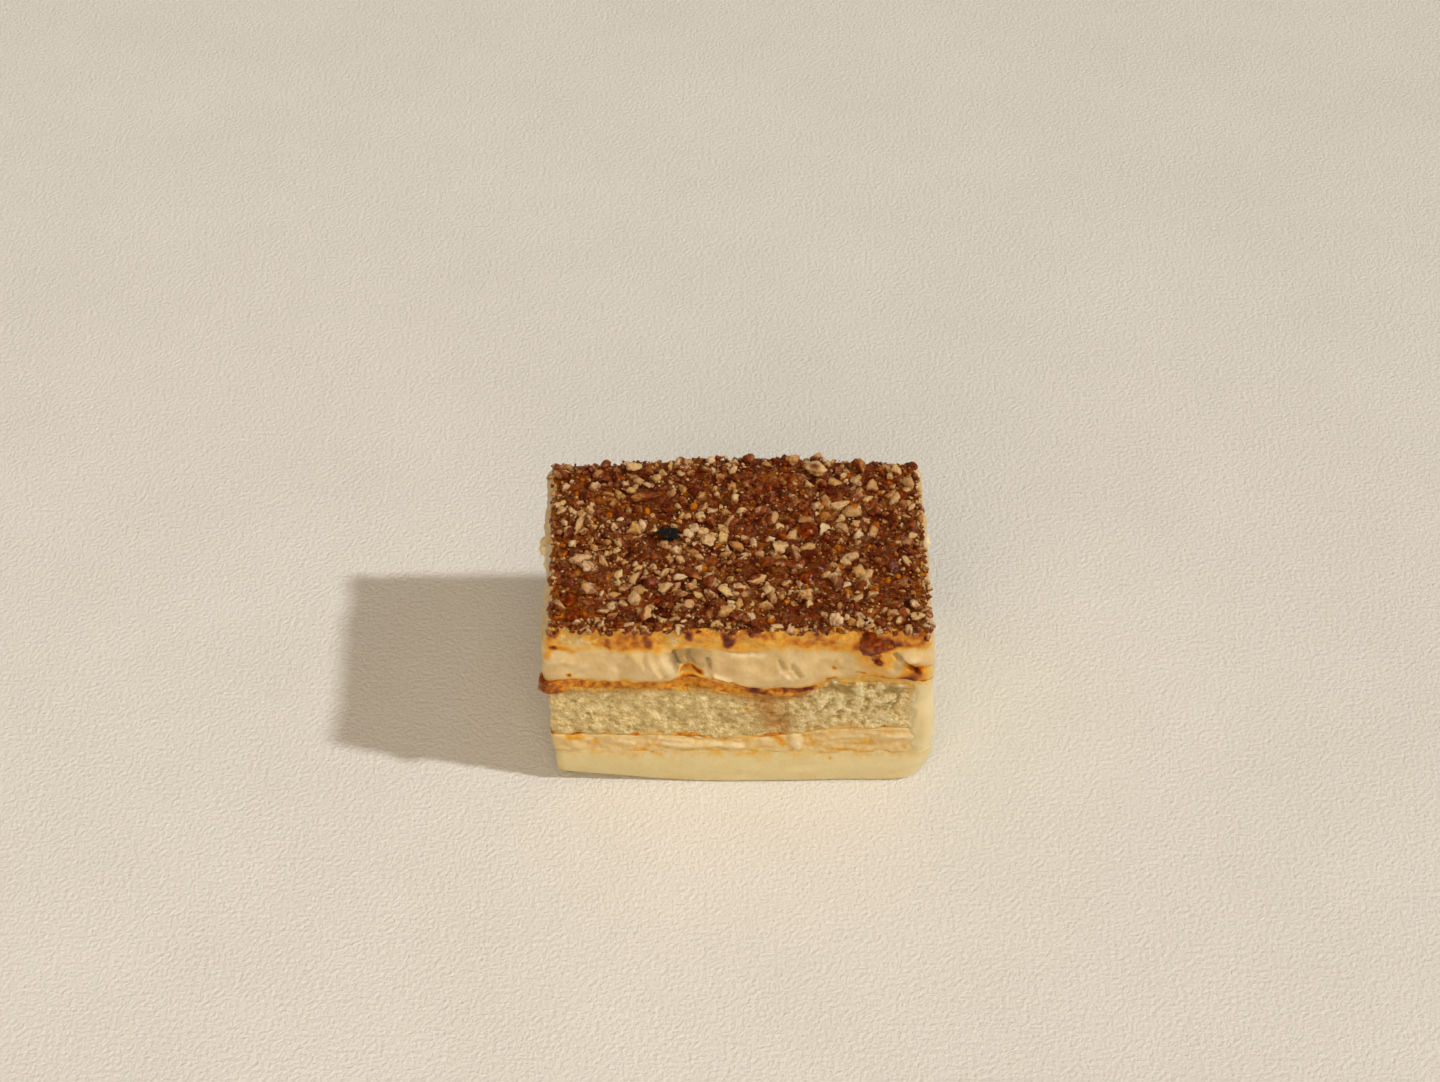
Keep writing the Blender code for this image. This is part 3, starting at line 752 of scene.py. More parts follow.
def bead_material():
    """Clear caramel: dark where it is thick, with light spreading inside it."""
    look = Look("caramel_beads_looks", 0.08, 0.25, (0.5, (1.0, 0.22, 0.03), 1.2))
    spots = look.spread(look.noise(1.1, 4), 0.3, 0.7, -0.4, 0.4)
    look.paint(look.ramp(look.maths("ADD", look.number("tone"), spots), BEAD_STOPS))
    look.relief(look.noise(1.3), 0.2)
    return look.made


def floor_material():
    look = Look("floor_plaster", 0.85, 0.2)
    tone = look.spread(look.noise(40, 6, 0.6), 0.3, 0.7)
    look.paint(look.mix(tone, (0.80, 0.79, 0.74), (0.76, 0.75, 0.695)))
    look.relief(look.noise(0.9, 5, 0.6), 0.7, 0.8)
    return look.made


# The layers


def base_layer():
    def shape_at(level):
        radius = 6.5 - 3.3 * level
        bulge = BASE_RIGHT_BULGE * min(0.3 + level, 1)
        return (BASE_LEFT_INSET, -bulge, 0, 0), (1.6, radius, 4.0, 1.6)

    def low(x, y):
        return foot(x, y) * edge_share(x, y)

    def high(x, y):
        return base_top(x, y) + OVERLAP

    wall = Wall(low, high, shape_at, even_levels(8.7, 0.32))
    x, y, z = wall.x, wall.y, wall.z
    belly = 0.35 * np.sin(math.pi * wall.level)
    bow = 0.7 * bump(x, 4, 34) * frontness(y) * (1 - wall.level)
    drag = 0.12 * ripple(x, y, 3 * z, 6, 81) + 0.04 * ripple(x, y, z, 1.6, 82)
    amount = belly + bow + drag + 0.15 * ripple(x, y, z, 12, 3) + wall.rounded(0.9, 0.15)
    warm_top = smooth(5.6, 8.3, z + waves(x, y, 0, (1.2, 5, 92), (0.6, 1.5, 95)))
    caramel = 0.15 * warm_top * (1 - np.clip(wall.out_x, 0, 1))
    caramel += 0.05 * smooth(0.1, 0.5, ripple(x, y, 2 * z, 7, 84))
    caramel += (0.5 * spot(x, z, (18.5, 6.6), 0.7, 0.6) + 0.2 * spot(x, z, (-36, 3), 2.5, 2)) * wall.front
    caramel += 0.12 * smooth(2.6, 0.8, z) * smooth(5, -25, x)
    white = 0.25 * smooth(0.1, 0.6, ripple(x, y, 3 * z, 9, 83)) + 0.3 * smooth(22, 34, x) * smooth(8, 5, z)
    look = cream_material("base_custard_looks", *CUSTARD, glow=0.45, roughness=0.32, depth=0.08)
    obj = layer_object(
        "custard_base", wall, amount, look, "base_custard", white=white, shade=0 * white, caramel=caramel
    )
    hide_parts("base_layer")
    return look


def lower_cream():
    def shape_at(level):
        return (1.5 - 1.1 * level, COAT_THICK - 0.4, 0, 0), (1.4, 1.0, 1.0, 1.4)

    def low(x, y):
        return base_top(x, y) - 3 * OVERLAP

    def high(x, y):
        return lower_line(x, y) + OVERLAP

    wall = Wall(low, high, shape_at, even_levels(5.4, 0.25))
    x, y, z = wall.x, wall.y, wall.z
    lights = 0.85 * marked(x, z, LOWER_LIGHTS) * wall.front
    smears = waves(x, y, z, (0.35, 6, 5), (0.12, 0.9, 86)) + 0.26 * ripple(x, y, 1.8 * z, 2.0, 85)
    settled = smooth(0.0, 2.0, z - wall.low)
    foot_edge = 0.3 * smooth(0.9, 0.0, z - wall.low) - 0.35 * ripple(x, y, z, 1.6, 94) * (1 - settled)
    relief = (smears * settled + 0.5 * np.clip(lights, 0, 1.2)) * wall.fade_at_coat()
    amount = relief - foot_edge + wall.rounded(0.05, 0.4)
    around = 0.55 * smooth(0.15, 0.5, ripple(x, y, 2.5 * z, 6, 88)) * (1 - wall.front)
    white = np.clip(lights * (0.8 + 0.5 * ripple(x, y, z, 1.8, 87)) + around, 0, 1)
    stain = 0.04 + 0.15 * smooth(-0.1, 0.5, ripple(x, y, 2 * z, 4, 89)) + 0.1 * ripple(x, y, z, 1.5, 93)
    stain *= smooth(36.5, 33, x) * (1 - white)
    caramel = np.clip(stain + 0.7 * marked(x, z, LOWER_MARKS) * wall.front, 0, 1)
    look = cream_material("lower_cream_looks", *LOWER_CREAM, roughness=0.3, depth=0.22)
    obj = layer_object(
        "streaked_cream", wall, amount, look, "lower_cream", white=white, shade=0 * white, caramel=caramel
    )
    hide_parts("lower_cream")


def lower_caramel_line():
    def shape_at(level):
        return (0.5, COAT_THICK - 0.2, 0, 0), (1.2, 1.0, 1.0, 1.2)

    def low(x, y):
        return lower_line(x, y) - 0.15

    def high(x, y):
        return sponge_bottom(x, y) + 0.15

    wall = Wall(low, high, shape_at, even_levels(1.2, 0.2))
    x, y, z = wall.x, wall.y, wall.z
    amount = waves(x, y, z, (0.3, 5, 9), (0.2, 1.5, 90)) - 0.15 + wall.rounded(0.4, 0.4)
    amount *= wall.fade_at_coat()
    gaps = bump(x, -25.2, 1.6) + bump(x, 11.4, 2.6) + bump(x, 19.5, 2.2) + 0.6 * bump(x, 3.5, 2.5)
    breaks = smooth(-0.35, 0.2, ripple(x, y, 0, 3.5, 91)) * (1 - 0.85 * np.clip(gaps, 0, 1) * wall.front)
    caramel = 0.1 + 0.58 * breaks
    look = seam_material()
    obj = layer_object("caramel_line", wall, amount, look, "lower_caramel", caramel=caramel)
    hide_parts("lower_caramel_line")
    return look


def sponge_layer():
    def shape_at(level):
        return (0.6, 1.3, 0, 0), (1.2, 0.4, 0.4, 1.2)

    def low(x, y):
        return sponge_bottom(x, y) - OVERLAP

    def high(x, y):
        return sponge_top(x, y) + OVERLAP

    wall = Wall(low, high, shape_at, even_levels(13.4, 0.235), SPONGE_COLUMNS)
    x, y, z = wall.x, wall.y, wall.z
    near, _, _ = cells(x + 0.3 * ripple(x, y, z, 0.9, 107), y, 1.2 * z, 1.9, 101)
    fine_near, _, _ = cells(x, y, z, 0.8, 102)
    open_here = smooth(-0.2, 0.4, ripple(x, y, z, 3, 103))
    large = smooth(0.4, 0.15, near) * open_here
    small = smooth(0.42, 0.2, fine_near) * smooth(-0.4, 0.3, ripple(x, y, z, 2.2, 108))
    flaky = smooth(9, 15, x) * frontness(y)
    flakes = ripple(x, y, 0.7 * z, 1.9, 109) + 0.5 * ripple(x, y, z, 0.8, 110)
    crumb = waves(x, y, z, (0.55, 3.4, 13), (0.35, 11, 17), (0.2, 1.3, 104))
    right_end = smooth(31.5, 35.4, x + 1.8 * ripple(x, y, z, 2.4, 113))
    ends = np.clip(0.5 * smooth(-36.2, -37.0, x) * smooth(25, 22, z) + right_end, 0, 1)
    pits = 0.55 * large + 0.16 * small
    relief = crumb + 0.5 * flaky * flakes - pits * (1 - ends) - 0.15
    amount = relief * wall.fade_at_coat() - 0.2 * smooth(35, 36, x)
    # Painted shade in the pores that the relief pushes in
    pore = np.clip(0.55 * large + 0.3 * small, 0, 0.8) * (1 - ends)
    near_top = smooth(2.2, 0.3, wall.high - z + 0.6 * ripple(x, y, z, 1.8, 117))
    soaks = marked(x, z, SPONGE_SOAKS) * wall.front
    soak = np.clip(soaks * (0.75 + 0.6 * ripple(x, y, z, 1.5, 105)) + 0.5 * near_top, 0, 0.9)
    # Cream at the ends; on the flaky part the raised flakes are pale, partly light crumbs and partly painted
    # highlight
    cream = np.clip(ends + flaky * smooth(-0.1, 0.35, flakes), 0, 1)
    # Painted shade between the raised flakes, on the upper part of the flaky zone
    olive = np.clip(0.8 * flaky * smooth(0.0, -0.4, flakes) * smooth(17, 21, z) * (1 - right_end), 0, 1)
    caramel = 0.42 * smooth(1.3, 0.2, wall.high - z) * (1 - 0.7 * flaky)
    caramel += 0.3 * smooth(0.7, 0.2, z - wall.low)
    caramel *= 0.6 + 0.6 * ripple(x, y, z, 2.5, 106)
    caramel += 0.55 * spot(x, z, (1.8, 20.4), 0.8, 0.9) * wall.front
    caramel += 0.15 * stroke(x, z, (34, 26), (32, 19.5), 1.7) * wall.front
    obj = layer_object(
        "sponge", wall, amount, sponge_material(), "sponge",
        pore=pore, soak=soak * (1 - 0.8 * ends), cream=cream, olive=olive, caramel=np.clip(caramel, 0, 1),
    )
    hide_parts("sponge_layer")


def caramel_seam(look):
    def shape_at(level):
        return (0, COAT_THICK - 0.2, 0, 0), (1.2, 1.0, 1.0, 1.2)

    def low(x, y):
        return sponge_top(x, y) - 0.7 - 0.5 * ripple(x, y, 0, 2.6, 114)

    def high(x, y):
        return cream_bottom(x, y) + 0.45

    wall = Wall(low, high, shape_at, even_levels(3.0, 0.2))
    x, y, z = wall.x, wall.y, wall.z
    corner = np.hypot(x + WIDTH / 2, y + DEPTH / 2)
    lump = 1.2 * bump(corner, 0, 7)
    recess = -0.6 * bump(x, HOLLOW[0], 5) * wall.front
    knobs = 0.3 * smooth(0.45, 0.1, cells(x, y, z, 1.2, 115)[0])
    amount = lump + recess + knobs + waves(x, y, z, (0.3, 5, 19), (0.25, 1.6, 111)) - 0.2
    strong = 1 - 0.55 * smooth(14, 19, x) * frontness(y)
    caramel = 0.49 + 0.14 * smooth(-0.4, 0.5, ripple(x, y, z, 4, 112)) + 0.24 * ripple(x, y, z, 1.2, 116)
    caramel = caramel * strong + marked(x, z, SEAM_MARKS) * wall.front + 0.15 * bump(corner, 0, 12)
    amount = (amount + wall.rounded(0.3, 0.3)) * wall.fade_at_coat()
    obj = layer_object("amber_seam", wall, amount, look, "caramel", caramel=np.clip(caramel, 0, 1))
    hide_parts("caramel_seam")


def cream_hollow(x, z):
    """The broken hollow between the two lobes, with balls of cream left standing in it."""
    bent_x = x + 0.8 * ripple(x, 0, z, 2.4, 124)
    bent_z = z + 0.7 * ripple(x, 0, z, 2.1, 125)
    lobe_edge = -13.2 + 1.7 * smooth(35.8, 31.0, bent_z)
    inside = smooth(lobe_edge - 0.1, lobe_edge + 0.8, bent_x) * smooth(-4.2, -10.0, bent_x)
    inside = inside * smooth(37.2, 35.2, bent_z) * smooth(28.8, 30.8, bent_z)
    balls = spots(x, z, HOLLOW_BALLS) + 0.35 * smooth(0.5, 0.1, cells(x, 0 * x, z, 1.3, 126)[0])
    undercut = 0.9 * stroke(bent_x, bent_z, (-13.0, 35.6), (-11.7, 32.2), 0.7)
    return inside * (balls - 2.0) - undercut


def cream_relief(x, y, z, front):
    """What stands proud of the thick cream's side and the amber band over it."""
    folds = waves(x, y, z, (0.45, 8, 29), (0.1, 1.5, 122)) + 0.36 * ripple(x, y, 1.4 * z, 3.4, 121)
    bent = 0.7 * ripple(x, 0, z, 1.1, 130)
    dents = 0.55 * stroke(x + bent, z - bent, (8.2, 33.6), (8.9, 32.0), 0.9)
    dents += 0.6 * stroke(x + bent, z, (10.6, 32.6), (12.1, 30.4), 1.0)
    special = spots(x, z, CREAM_SWELLS) + strokes(x, z, CREAM_STROKES) + cream_hollow(x, z) - dents
    return folds + special * front


def cream_caramel(x, y, z, front, ends):
    """How much caramel lies on the thick cream's side and the amber band over it."""
    line = 36.9 + waves(x, y, 0, (0.7, 5, 131), (0.6, 1.7, 132))
    band = smooth(line - 1.2, line + 0.9, z)
    rich = 0.45 + waves(x, y, z, (0.15, 4.5, 133), (0.14, 1.2, 134)) - 0.3 * ends
    rich += front * (0.07 * bump(x, -22, 6) + 0.08 * bump(x, 32, 7) - 0.08 * bump(x, -31, 4))
    rich += front * (marked(x, z, BAND_MARKS) - 0.7 * marked(x, z, BAND_LIGHTS))
    arc = marked(x, z, BAND_MARKS[:2]) * front
    marks = marked(x, z, CREAM_MARKS) * front
    return np.clip(np.maximum(band * rich, arc) + marks, 0, 1)


def thick_cream():
    def shape_at(level):
        return (0, -0.2 * (1 - level), 0, 0), (1.8, 2.4, 1.8, 1.8)

    def low(x, y):
        return cream_bottom(x, y) - 0.1

    def high(x, y):
        return cream_top(x, y) + OVERLAP

    wall = Wall(low, high, shape_at, even_levels(10.3, 0.235), CREAM_COLUMNS)
    x, y, z = wall.x, wall.y, wall.z
    belly = 0.45 * np.sin(math.pi * np.clip((z - wall.low) / (wall.high - wall.low), 0, 1))
    amount = belly + cream_relief(x, y, z, wall.front) + wall.rounded(0.7, 0.01)
    seam = 0.55 * smooth(1.7, 0.2, z - wall.low) * (0.6 + 0.8 * ripple(x, y, z, 2.2, 123))
    caramel = np.clip(cream_caramel(x, y, z, wall.front, np.abs(wall.out_x)) + seam, 0, 1)
    # Painted highlights, and a few pale crumbs, carried as the white value
    lights = marked(x, z, CREAM_HIGHLIGHTS_AND_CRUMBS) * wall.front
    # Painted shade in the slits, dents and crack, and under the lobes
    shades = marked(x, z, CREAM_SHADES) * wall.front
    bent_x = x + 1.2 * ripple(x, 0, z, 1.6, 129)
    bent_z = z + 0.9 * ripple(x, 0, z, 1.4, 135)
    # Painted shade over the hollow between the lobes
    recess = 0.3 * smooth(-13.2, -11.0, bent_x) * smooth(-4.0, -9.5, bent_x)
    recess *= smooth(37.0, 34.8, bent_z) * smooth(29.6, 31.8, bent_z)
    look = cream_material("cream_looks", *CREAM)
    obj = layer_object(
        "thick_cream", wall, amount, look, "cream",
        white=np.clip(lights, 0, 1), shade=np.clip(shades + recess * wall.front, 0, 1), caramel=caramel,
    )
    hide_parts("top_cream")


def side_coat(look):
    """The cream on the right end: a thin upright slab whose front edge runs on into the front cut."""
    inner = WIDTH - COAT_THICK - 2.2

    def shape_at(level):
        bulge = 0.3 + 0.9 * float(bump(level, 0.15, 1.0))
        corner = 2.4 + 2.0 * float(bump(level, 0, 0.35))
        return (inner, -bulge, -0.2, 0.2), (0.5, corner, 1.6, 0.5)

    def low(x, y):
        return base_top(x, y) - 1.5

    def high(x, y):
        return cream_bottom(x, y) + 0.6

    wall = Wall(low, high, shape_at, even_levels(19, 0.4), COAT_COLUMNS)
    x, y, z = wall.x, wall.y, wall.z
    amount = 0.3 * ripple(x, y, z, 9, 41) + 0.12 * ripple(x, y, 0.5 * z, 3, 141) + wall.rounded(0.1, 0.8)
    sunk = 0.6 * smooth(35.4, 33.8, x + 1.2 * ripple(0 * x, y, z, 1.9, 144))
    sunk += 0.6 * smooth(2.2, 0.2, z - wall.low)
    surface = wall.push(amount * smooth(35.5, 37.0, x) - sunk)
    caramel = 0.35 * smooth(2.2, 0.2, wall.high - z) * (0.6 + 0.8 * ripple(x, y, z, 4, 142))
    caramel = np.clip(caramel, 0, 1)
    white = 0.35 * smooth(0, 0.5, ripple(x, y, z, 6, 143)) + 0.25 * np.clip(-wall.out_y, 0, 1)
    obj = lofted("side_cream", surface, look, "side_cream", white=white, shade=0 * white, caramel=caramel)
    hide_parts("side_coat")


def crumb_cells(x, y):
    """The crumbs under the caramel's skin: how far a point is inside one, and its own number."""
    _, border, own = cells(x + 0.5 * ripple(x, y, 0, 1.6, 155), y, 0 * x, 1.7, 151)
    _, fine_border, fine_own = cells(x, y, 0 * x, 0.95, 152)
    coarse = smooth(0.03, 0.22, border) * (own > 0.35)
    fine = smooth(0.03, 0.25, fine_border) * (fine_own > 0.3)
    return coarse, own, fine, fine_own


def bed_relief(x, y):
    coarse, own, fine, fine_own = crumb_cells(x, y)
    lift = 0.9 * coarse * (own - 0.3) + 0.4 * fine * (fine_own - 0.2)
    pool = glaze_share(x, y)
    return lift * (1 - 0.6 * pool) - 0.6 + 0.35 * pool + 0.35 * ripple(x, y, 0, 2.6, 153)


def bed_height(x, y):
    return topping_top(x, y) + bed_relief(x, y)


def bed_height_at(x, y):
    """The bed's height at a single place."""
    return float(bed_height(np.array([x]), np.array([y]))[0])


def reach_left(x, y):
    """The topping's X, drawn out to the slice's left edge towards the back."""
    return x - 1.2 * smooth(-8, 20, y) * smooth(-10, -36, x)


def glaze_share(x, y):
    """Where the glaze lies thick and dark over the nuts."""
    pools = sum(bump(x, *along_x) * bump(y, *along_y) for along_x, along_y in GLAZE_POOLS)
    return smooth(0.05, 0.35, ripple(x, y, 0, 6.5, 157) + 0.6 * pools)


def amber_share(x, y):
    """Where the glaze is clear amber: along the ends and in patches."""
    rim = 0.6 * smooth(4.5, 1.5, WIDTH / 2 - np.abs(x))
    patches = 0.8 * smooth(0.15, 0.45, ripple(x, y, 0, 5.5, 156))
    corner = bump(x, -33, 9) * bump(y, -17, 10)
    return np.clip(rim + patches + corner, 0, 1)


def bed_rings(drawn):
    """The rings on top of the bed, from its edge inwards, and how far each is from the edge."""
    insets = np.arange(RING_STEP, LAST_RING + RING_STEP, RING_STEP)
    rings = []
    for inset in insets:
        corner = 1.8 * (1 - inset / 25)
        ring, _ = outline([edge + inset for edge in TOPPING_INSETS], (corner,) * 4, BED_COLUMNS)
        rings.append(ring + drawn * (1 - min(inset / 2.5, 1)))
    return np.array(rings), insets


def topping_bed():
    """The caramel bed: an amber side that carries on from the cream, and a crumbly glossy top."""
    def shape_at(level):
        share = float(smooth(0.2, 1, level))
        insets = tuple((inset + 0.06) * share - 0.06 for inset in TOPPING_INSETS)
        return insets, TOPPING_RADII

    def low(x, y):
        return cream_top(x, y) - 0.4

    def high(x, y):
        return topping_top(x, y)

    wall = Wall(low, high, shape_at, even_levels(3.9, 0.24), BED_COLUMNS)
    x, y, z = wall.x, wall.y, wall.z
    amount = cream_relief(x, y, z, wall.front) + wall.rounded(0.01, 0.5) + 0.18 * ripple(x, y, z, 1.4, 154)
    amount -= 0.2 * smooth(0.5, 0, z - wall.low)
    side = wall.push(amount)
    drawn = side[-1][:, :2] - outline(TOPPING_INSETS, TOPPING_RADII, BED_COLUMNS)[0]
    side[:, :, 0] = reach_left(side[:, :, 0], side[:, :, 1])
    caramel = cream_caramel(x, y, z, wall.front, np.abs(wall.out_x))
    flat, insets = bed_rings(drawn)
    flat_x, flat_y = reach_left(flat[:, :, 0], flat[:, :, 1]), flat[:, :, 1]
    lift = smooth(0, 0.6, insets)[:, None]
    height = topping_top(flat_x, flat_y) + bed_relief(flat_x, flat_y) * lift
    coarse, own, fine, fine_own = crumb_cells(flat_x, flat_y)
    crumb = np.where(fine > 0.3, fine_own, own)
    ragged = waves(x, y, 0, (0.7, 2.6, 158), (0.4, 1.0, 159))
    top = np.vstack([smooth(-0.7, 0.2, z - wall.high + ragged), np.ones_like(flat_x)])
    values = {
        "caramel": np.vstack([caramel, np.ones_like(flat_x)]),
        "top": top,
        "crumb": np.vstack([0 * wall.level, crumb]),
        "grain": np.vstack([0 * wall.level, np.maximum(coarse, fine)]),
        "amber": np.vstack([0 * wall.level + 0.5, amber_share(flat_x, flat_y)]),
    }
    values = {key: np.vstack([grid[:1], grid]) for key, grid in values.items()}
    shell = [wall.middle(0), *side, *np.dstack([flat_x, flat_y, height])]
    obj = lofted("caramel_bed", shell, bed_material(), "pecan_praline", **values)
    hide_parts("pecan_topping")


# The pecans

# The pieces that stand out: X, Y, length, width, height, turn in degrees, paleness and how much is skin
LANDMARKS = {
    "burnt_piece": (-13.5, 2.2, 5.2, 3.6, 3.0, -8, 0.0, 0.0),
    "red_skinned_half": (5.8, -5.4, 5.6, 3.2, 3.2, 35, 0.6, 0.75),
    "arched_sliver": (4.4, -10.4, 6.2, 2.2, 2.4, 25, 0.8, 0.2),
    "round_at_front": (18.6, -22.4, 3.9, 3.8, 3.4, 0, 1.0, 0.0),
    "large_at_back": (16.0, 20.4, 5.0, 4.2, 3.8, -25, 0.9, 0.05),
    "high_on_back_edge": (2.3, 23.6, 3.4, 2.8, 3.8, 70, 0.2, 0.8),
    "upright_on_back_edge": (11.4, 23.4, 3.2, 2.6, 3.4, 40, 0.6, 0.1),
    "back_right": (25.2, 23.0, 4.4, 3.6, 2.8, 10, 0.35, 0.5),
    "back_left": (-21.5, 22.6, 4.6, 3.2, 2.6, 15, 0.85, 0.0),
    "long_skin": (-18.4, 13.3, 6.8, 2.8, 2.0, 12, 0.3, 0.9),
    "yellow_at_left": (-20.5, 4.3, 4.2, 3.8, 2.8, 60, 0.65, 0.1),
    "sliver_at_left": (-31.6, 6.4, 6.4, 2.2, 2.2, 75, 0.8, 0.1),
    "stick_at_left": (-31.4, -5.4, 5.0, 2.2, 2.4, 10, 0.85, 0.1),
    "round_at_left": (-28.9, -13.0, 4.2, 3.9, 2.6, 40, 0.7, 0.2),
    "beside_burnt_piece": (-5.8, 0.6, 4.4, 2.8, 2.4, -20, 0.85, 0.1),
    "skin_in_middle": (-9.0, -8.4, 5.6, 3.4, 2.2, -15, 0.3, 0.8),
    "front_middle": (-2.3, -14.6, 5.0, 2.4, 2.2, -8, 0.95, 0.0),
    "front_left": (-14.6, -13.2, 4.2, 2.8, 2.4, 30, 0.75, 0.1),
    "long_at_front": (13.6, -15.0, 5.8, 2.8, 2.6, 22, 0.75, 0.15),
    "long_at_right": (20.5, 10.6, 5.6, 2.2, 2.2, 14, 0.8, 0.1),
    "skin_at_right": (35.2, 4.8, 4.2, 2.6, 2.2, -60, 0.3, 0.85),
    "flat_slice_right": (34.4, -17.8, 3.6, 2.2, 2.0, 8, 0.85, 0.0),
    "flat_slice_corner": (35.0, -21.0, 3.6, 2.2, 2.0, -4, 0.85, 0.0),
}


def unit_ball(subdivisions):
    """An even ball's points and triangles."""
    ball = bmesh.new()
    bmesh.ops.create_icosphere(ball, subdivisions=subdivisions, radius=1)
    points = np.array([v.co[:] for v in ball.verts])
    faces = np.array([[v.index for v in f.verts] for f in ball.faces])
    ball.free()
    return points, faces


class Heap:
    """Broken pieces of one kind, gathered into one mesh."""

    def __init__(self, subdivisions, seed):
        self.ball, self.triangles = unit_ball(subdivisions)
        self.draw = np.random.default_rng(seed)
        self.points, self.faces, self.count = [], [], 0
        self.values = {"tone": [], "hue": [], "skin": [], "glaze": [], "burnt": []}

    def broken_ball(self, cuts, rough):
        """A ball cut flat by random planes, with one bite taken out and its surface left uneven."""
        draw, ball = self.draw, self.ball
        radius = np.ones(len(ball))
        for _ in range(cuts):
            normal = draw.normal(size=3)
            facing = ball @ (normal / np.linalg.norm(normal))
            radius = np.minimum(radius, draw.uniform(0.38, 0.88) / np.maximum(facing, 0.05))
        bite = draw.normal(size=3)
        bite /= np.linalg.norm(bite)
        radius *= 1 - draw.uniform(0, 0.45) * (cuts > 0) * smooth(0.55, 0.95, ball @ bite)
        offset = draw.uniform(0, 50, 3)
        lumps = np.array([noise.noise(p) for p in (ball * 2.4 + offset).tolist()])
        return ball * (radius * (1 + 2.2 * rough * lumps))[:, None], lumps

    def add(self, centre, size, turn, tilt, tone, skin=0.0, glaze=0.0, burnt=0.0, cuts=0, rough=0.1):
        """A piece stretched to size and turned, its foot in the glaze."""
        draw = self.draw
        shape, lumps = self.broken_ball(cuts, rough)
        turned = np.array(Euler((tilt[0], tilt[1], turn)).to_matrix())
        placed = (shape * np.array(size) / 2) @ turned.T
        low, high = placed[:, 2].min(), placed[:, 2].max()
        height = (placed[:, 2] - low) / (high - low)
        pole = draw.normal(size=3)
        pole /= np.linalg.norm(pole)
        side = self.ball @ pole
        skinned = smooth(0.9 - 1.8 * skin, 1.1 - 1.8 * skin, side) if skin > 0.02 else 0 * side
        wet = smooth(0.85, 0.35, height + 0.9 * (0.5 - glaze) + 0.3 * lumps)
        self.faces.append(self.triangles + self.count)
        self.points.append(placed + np.array(centre))
        self.count += len(self.ball)
        hue = draw.uniform(0, 0.8)
        shown = {"tone": tone, "hue": hue, "skin": skinned, "glaze": wet, "burnt": burnt}
        for key, numbers in shown.items():
            self.values[key].append(numbers * np.ones(len(self.ball)))

    def finish(self, name, look, slot="pecan_praline", broken=True):
        values = {key: np.concatenate(numbers) for key, numbers in self.values.items()}
        faces = np.concatenate(self.faces).tolist()
        obj = mesh_object(name, np.concatenate(self.points), faces, look, slot, **values)
        if broken:
            obj.data.set_sharp_from_angle(angle=math.radians(62))


# The scattered pieces: how many, the largest and smallest size, how much of their size lies clear of
# the others, and the margins kept at the left, right, front and back
SCATTERS = {
    "medium": (600, (3.9, 1.7), 0.58, (2.1, 1.6, 0.8, 0.6)),
    "crumbs": (650, (1.6, 0.8), 0.9, (1.6, 1.2, 0.5, 0.3)),
    "grains": (1300, (0.85, 0.4), 0.9, (1.2, 0.9, 0.4, 0.3)),
    "beads": (400, (2.2, 0.7), 1.2, (1.5, 1.2, 0.4, 0.6)),
}
TRIES = 30  # for a free place, before a piece is left out


def scattered(draw, kind, taken=()):
    """Places for a kind of piece from the largest down, clear of those that are taken."""
    count, sizes, keep, (left, right, front, back) = SCATTERS[kind]
    taken = np.array(taken, dtype=float).reshape(-1, 3)
    made = []
    for i in range(count):
        size = sizes[0] + (sizes[1] - sizes[0]) * (i / max(count - 1, 1)) ** 0.7
        for _ in range(TRIES):
            x = draw.uniform(left - WIDTH / 2, WIDTH / 2 - right)
            y = draw.uniform(front - DEPTH / 2, DEPTH / 2 - back)
            apart = np.hypot(taken[:, 0] - x, taken[:, 1] - y)
            if (apart > keep * (size + taken[:, 2]) / 2).all():
                taken = np.vstack([taken, (x, y, size)])
                made.append((x, y, size))
                break
    made = np.array(made)
    made[:, 0] = reach_left(made[:, 0], made[:, 1])
    heights = bed_height(made[:, 0], made[:, 1])
    return np.column_stack([made, heights]).tolist()


def nut_looks(draw, x, y, pale_share):
    """A piece's paleness and glaze: pale and nearly dry, or brown under thick glaze."""
    if draw.random() < pale_share - 0.85 * float(glaze_share(x, y)):
        return draw.betavariate(4.2, 2.1) ** 0.8, draw.uniform(0.1, 0.8)
    return draw.betavariate(2, 3), draw.uniform(0.6, 1.2)


def large_pecans(look):
    draw = random.Random(17)
    heap = Heap(4, 201)
    for name, (x, y, length, width, height, turn, pale, skin) in LANDMARKS.items():
        burnt = 1.0 if name == "burnt_piece" else 0.0
        z = bed_height_at(x, y) + 0.22 * height
        tilt = (draw.uniform(-0.3, 0.3), draw.uniform(-0.3, 0.3))
        glaze, rough = 0.35 + 0.65 * burnt, 0.13 + 0.17 * burnt
        size, turn = (length, width, height), math.radians(turn)
        heap.add((x, y, z), size, turn, tilt, pale, skin, glaze, burnt, cuts=8, rough=rough)
    heap.finish("pecan_large_pieces", look)


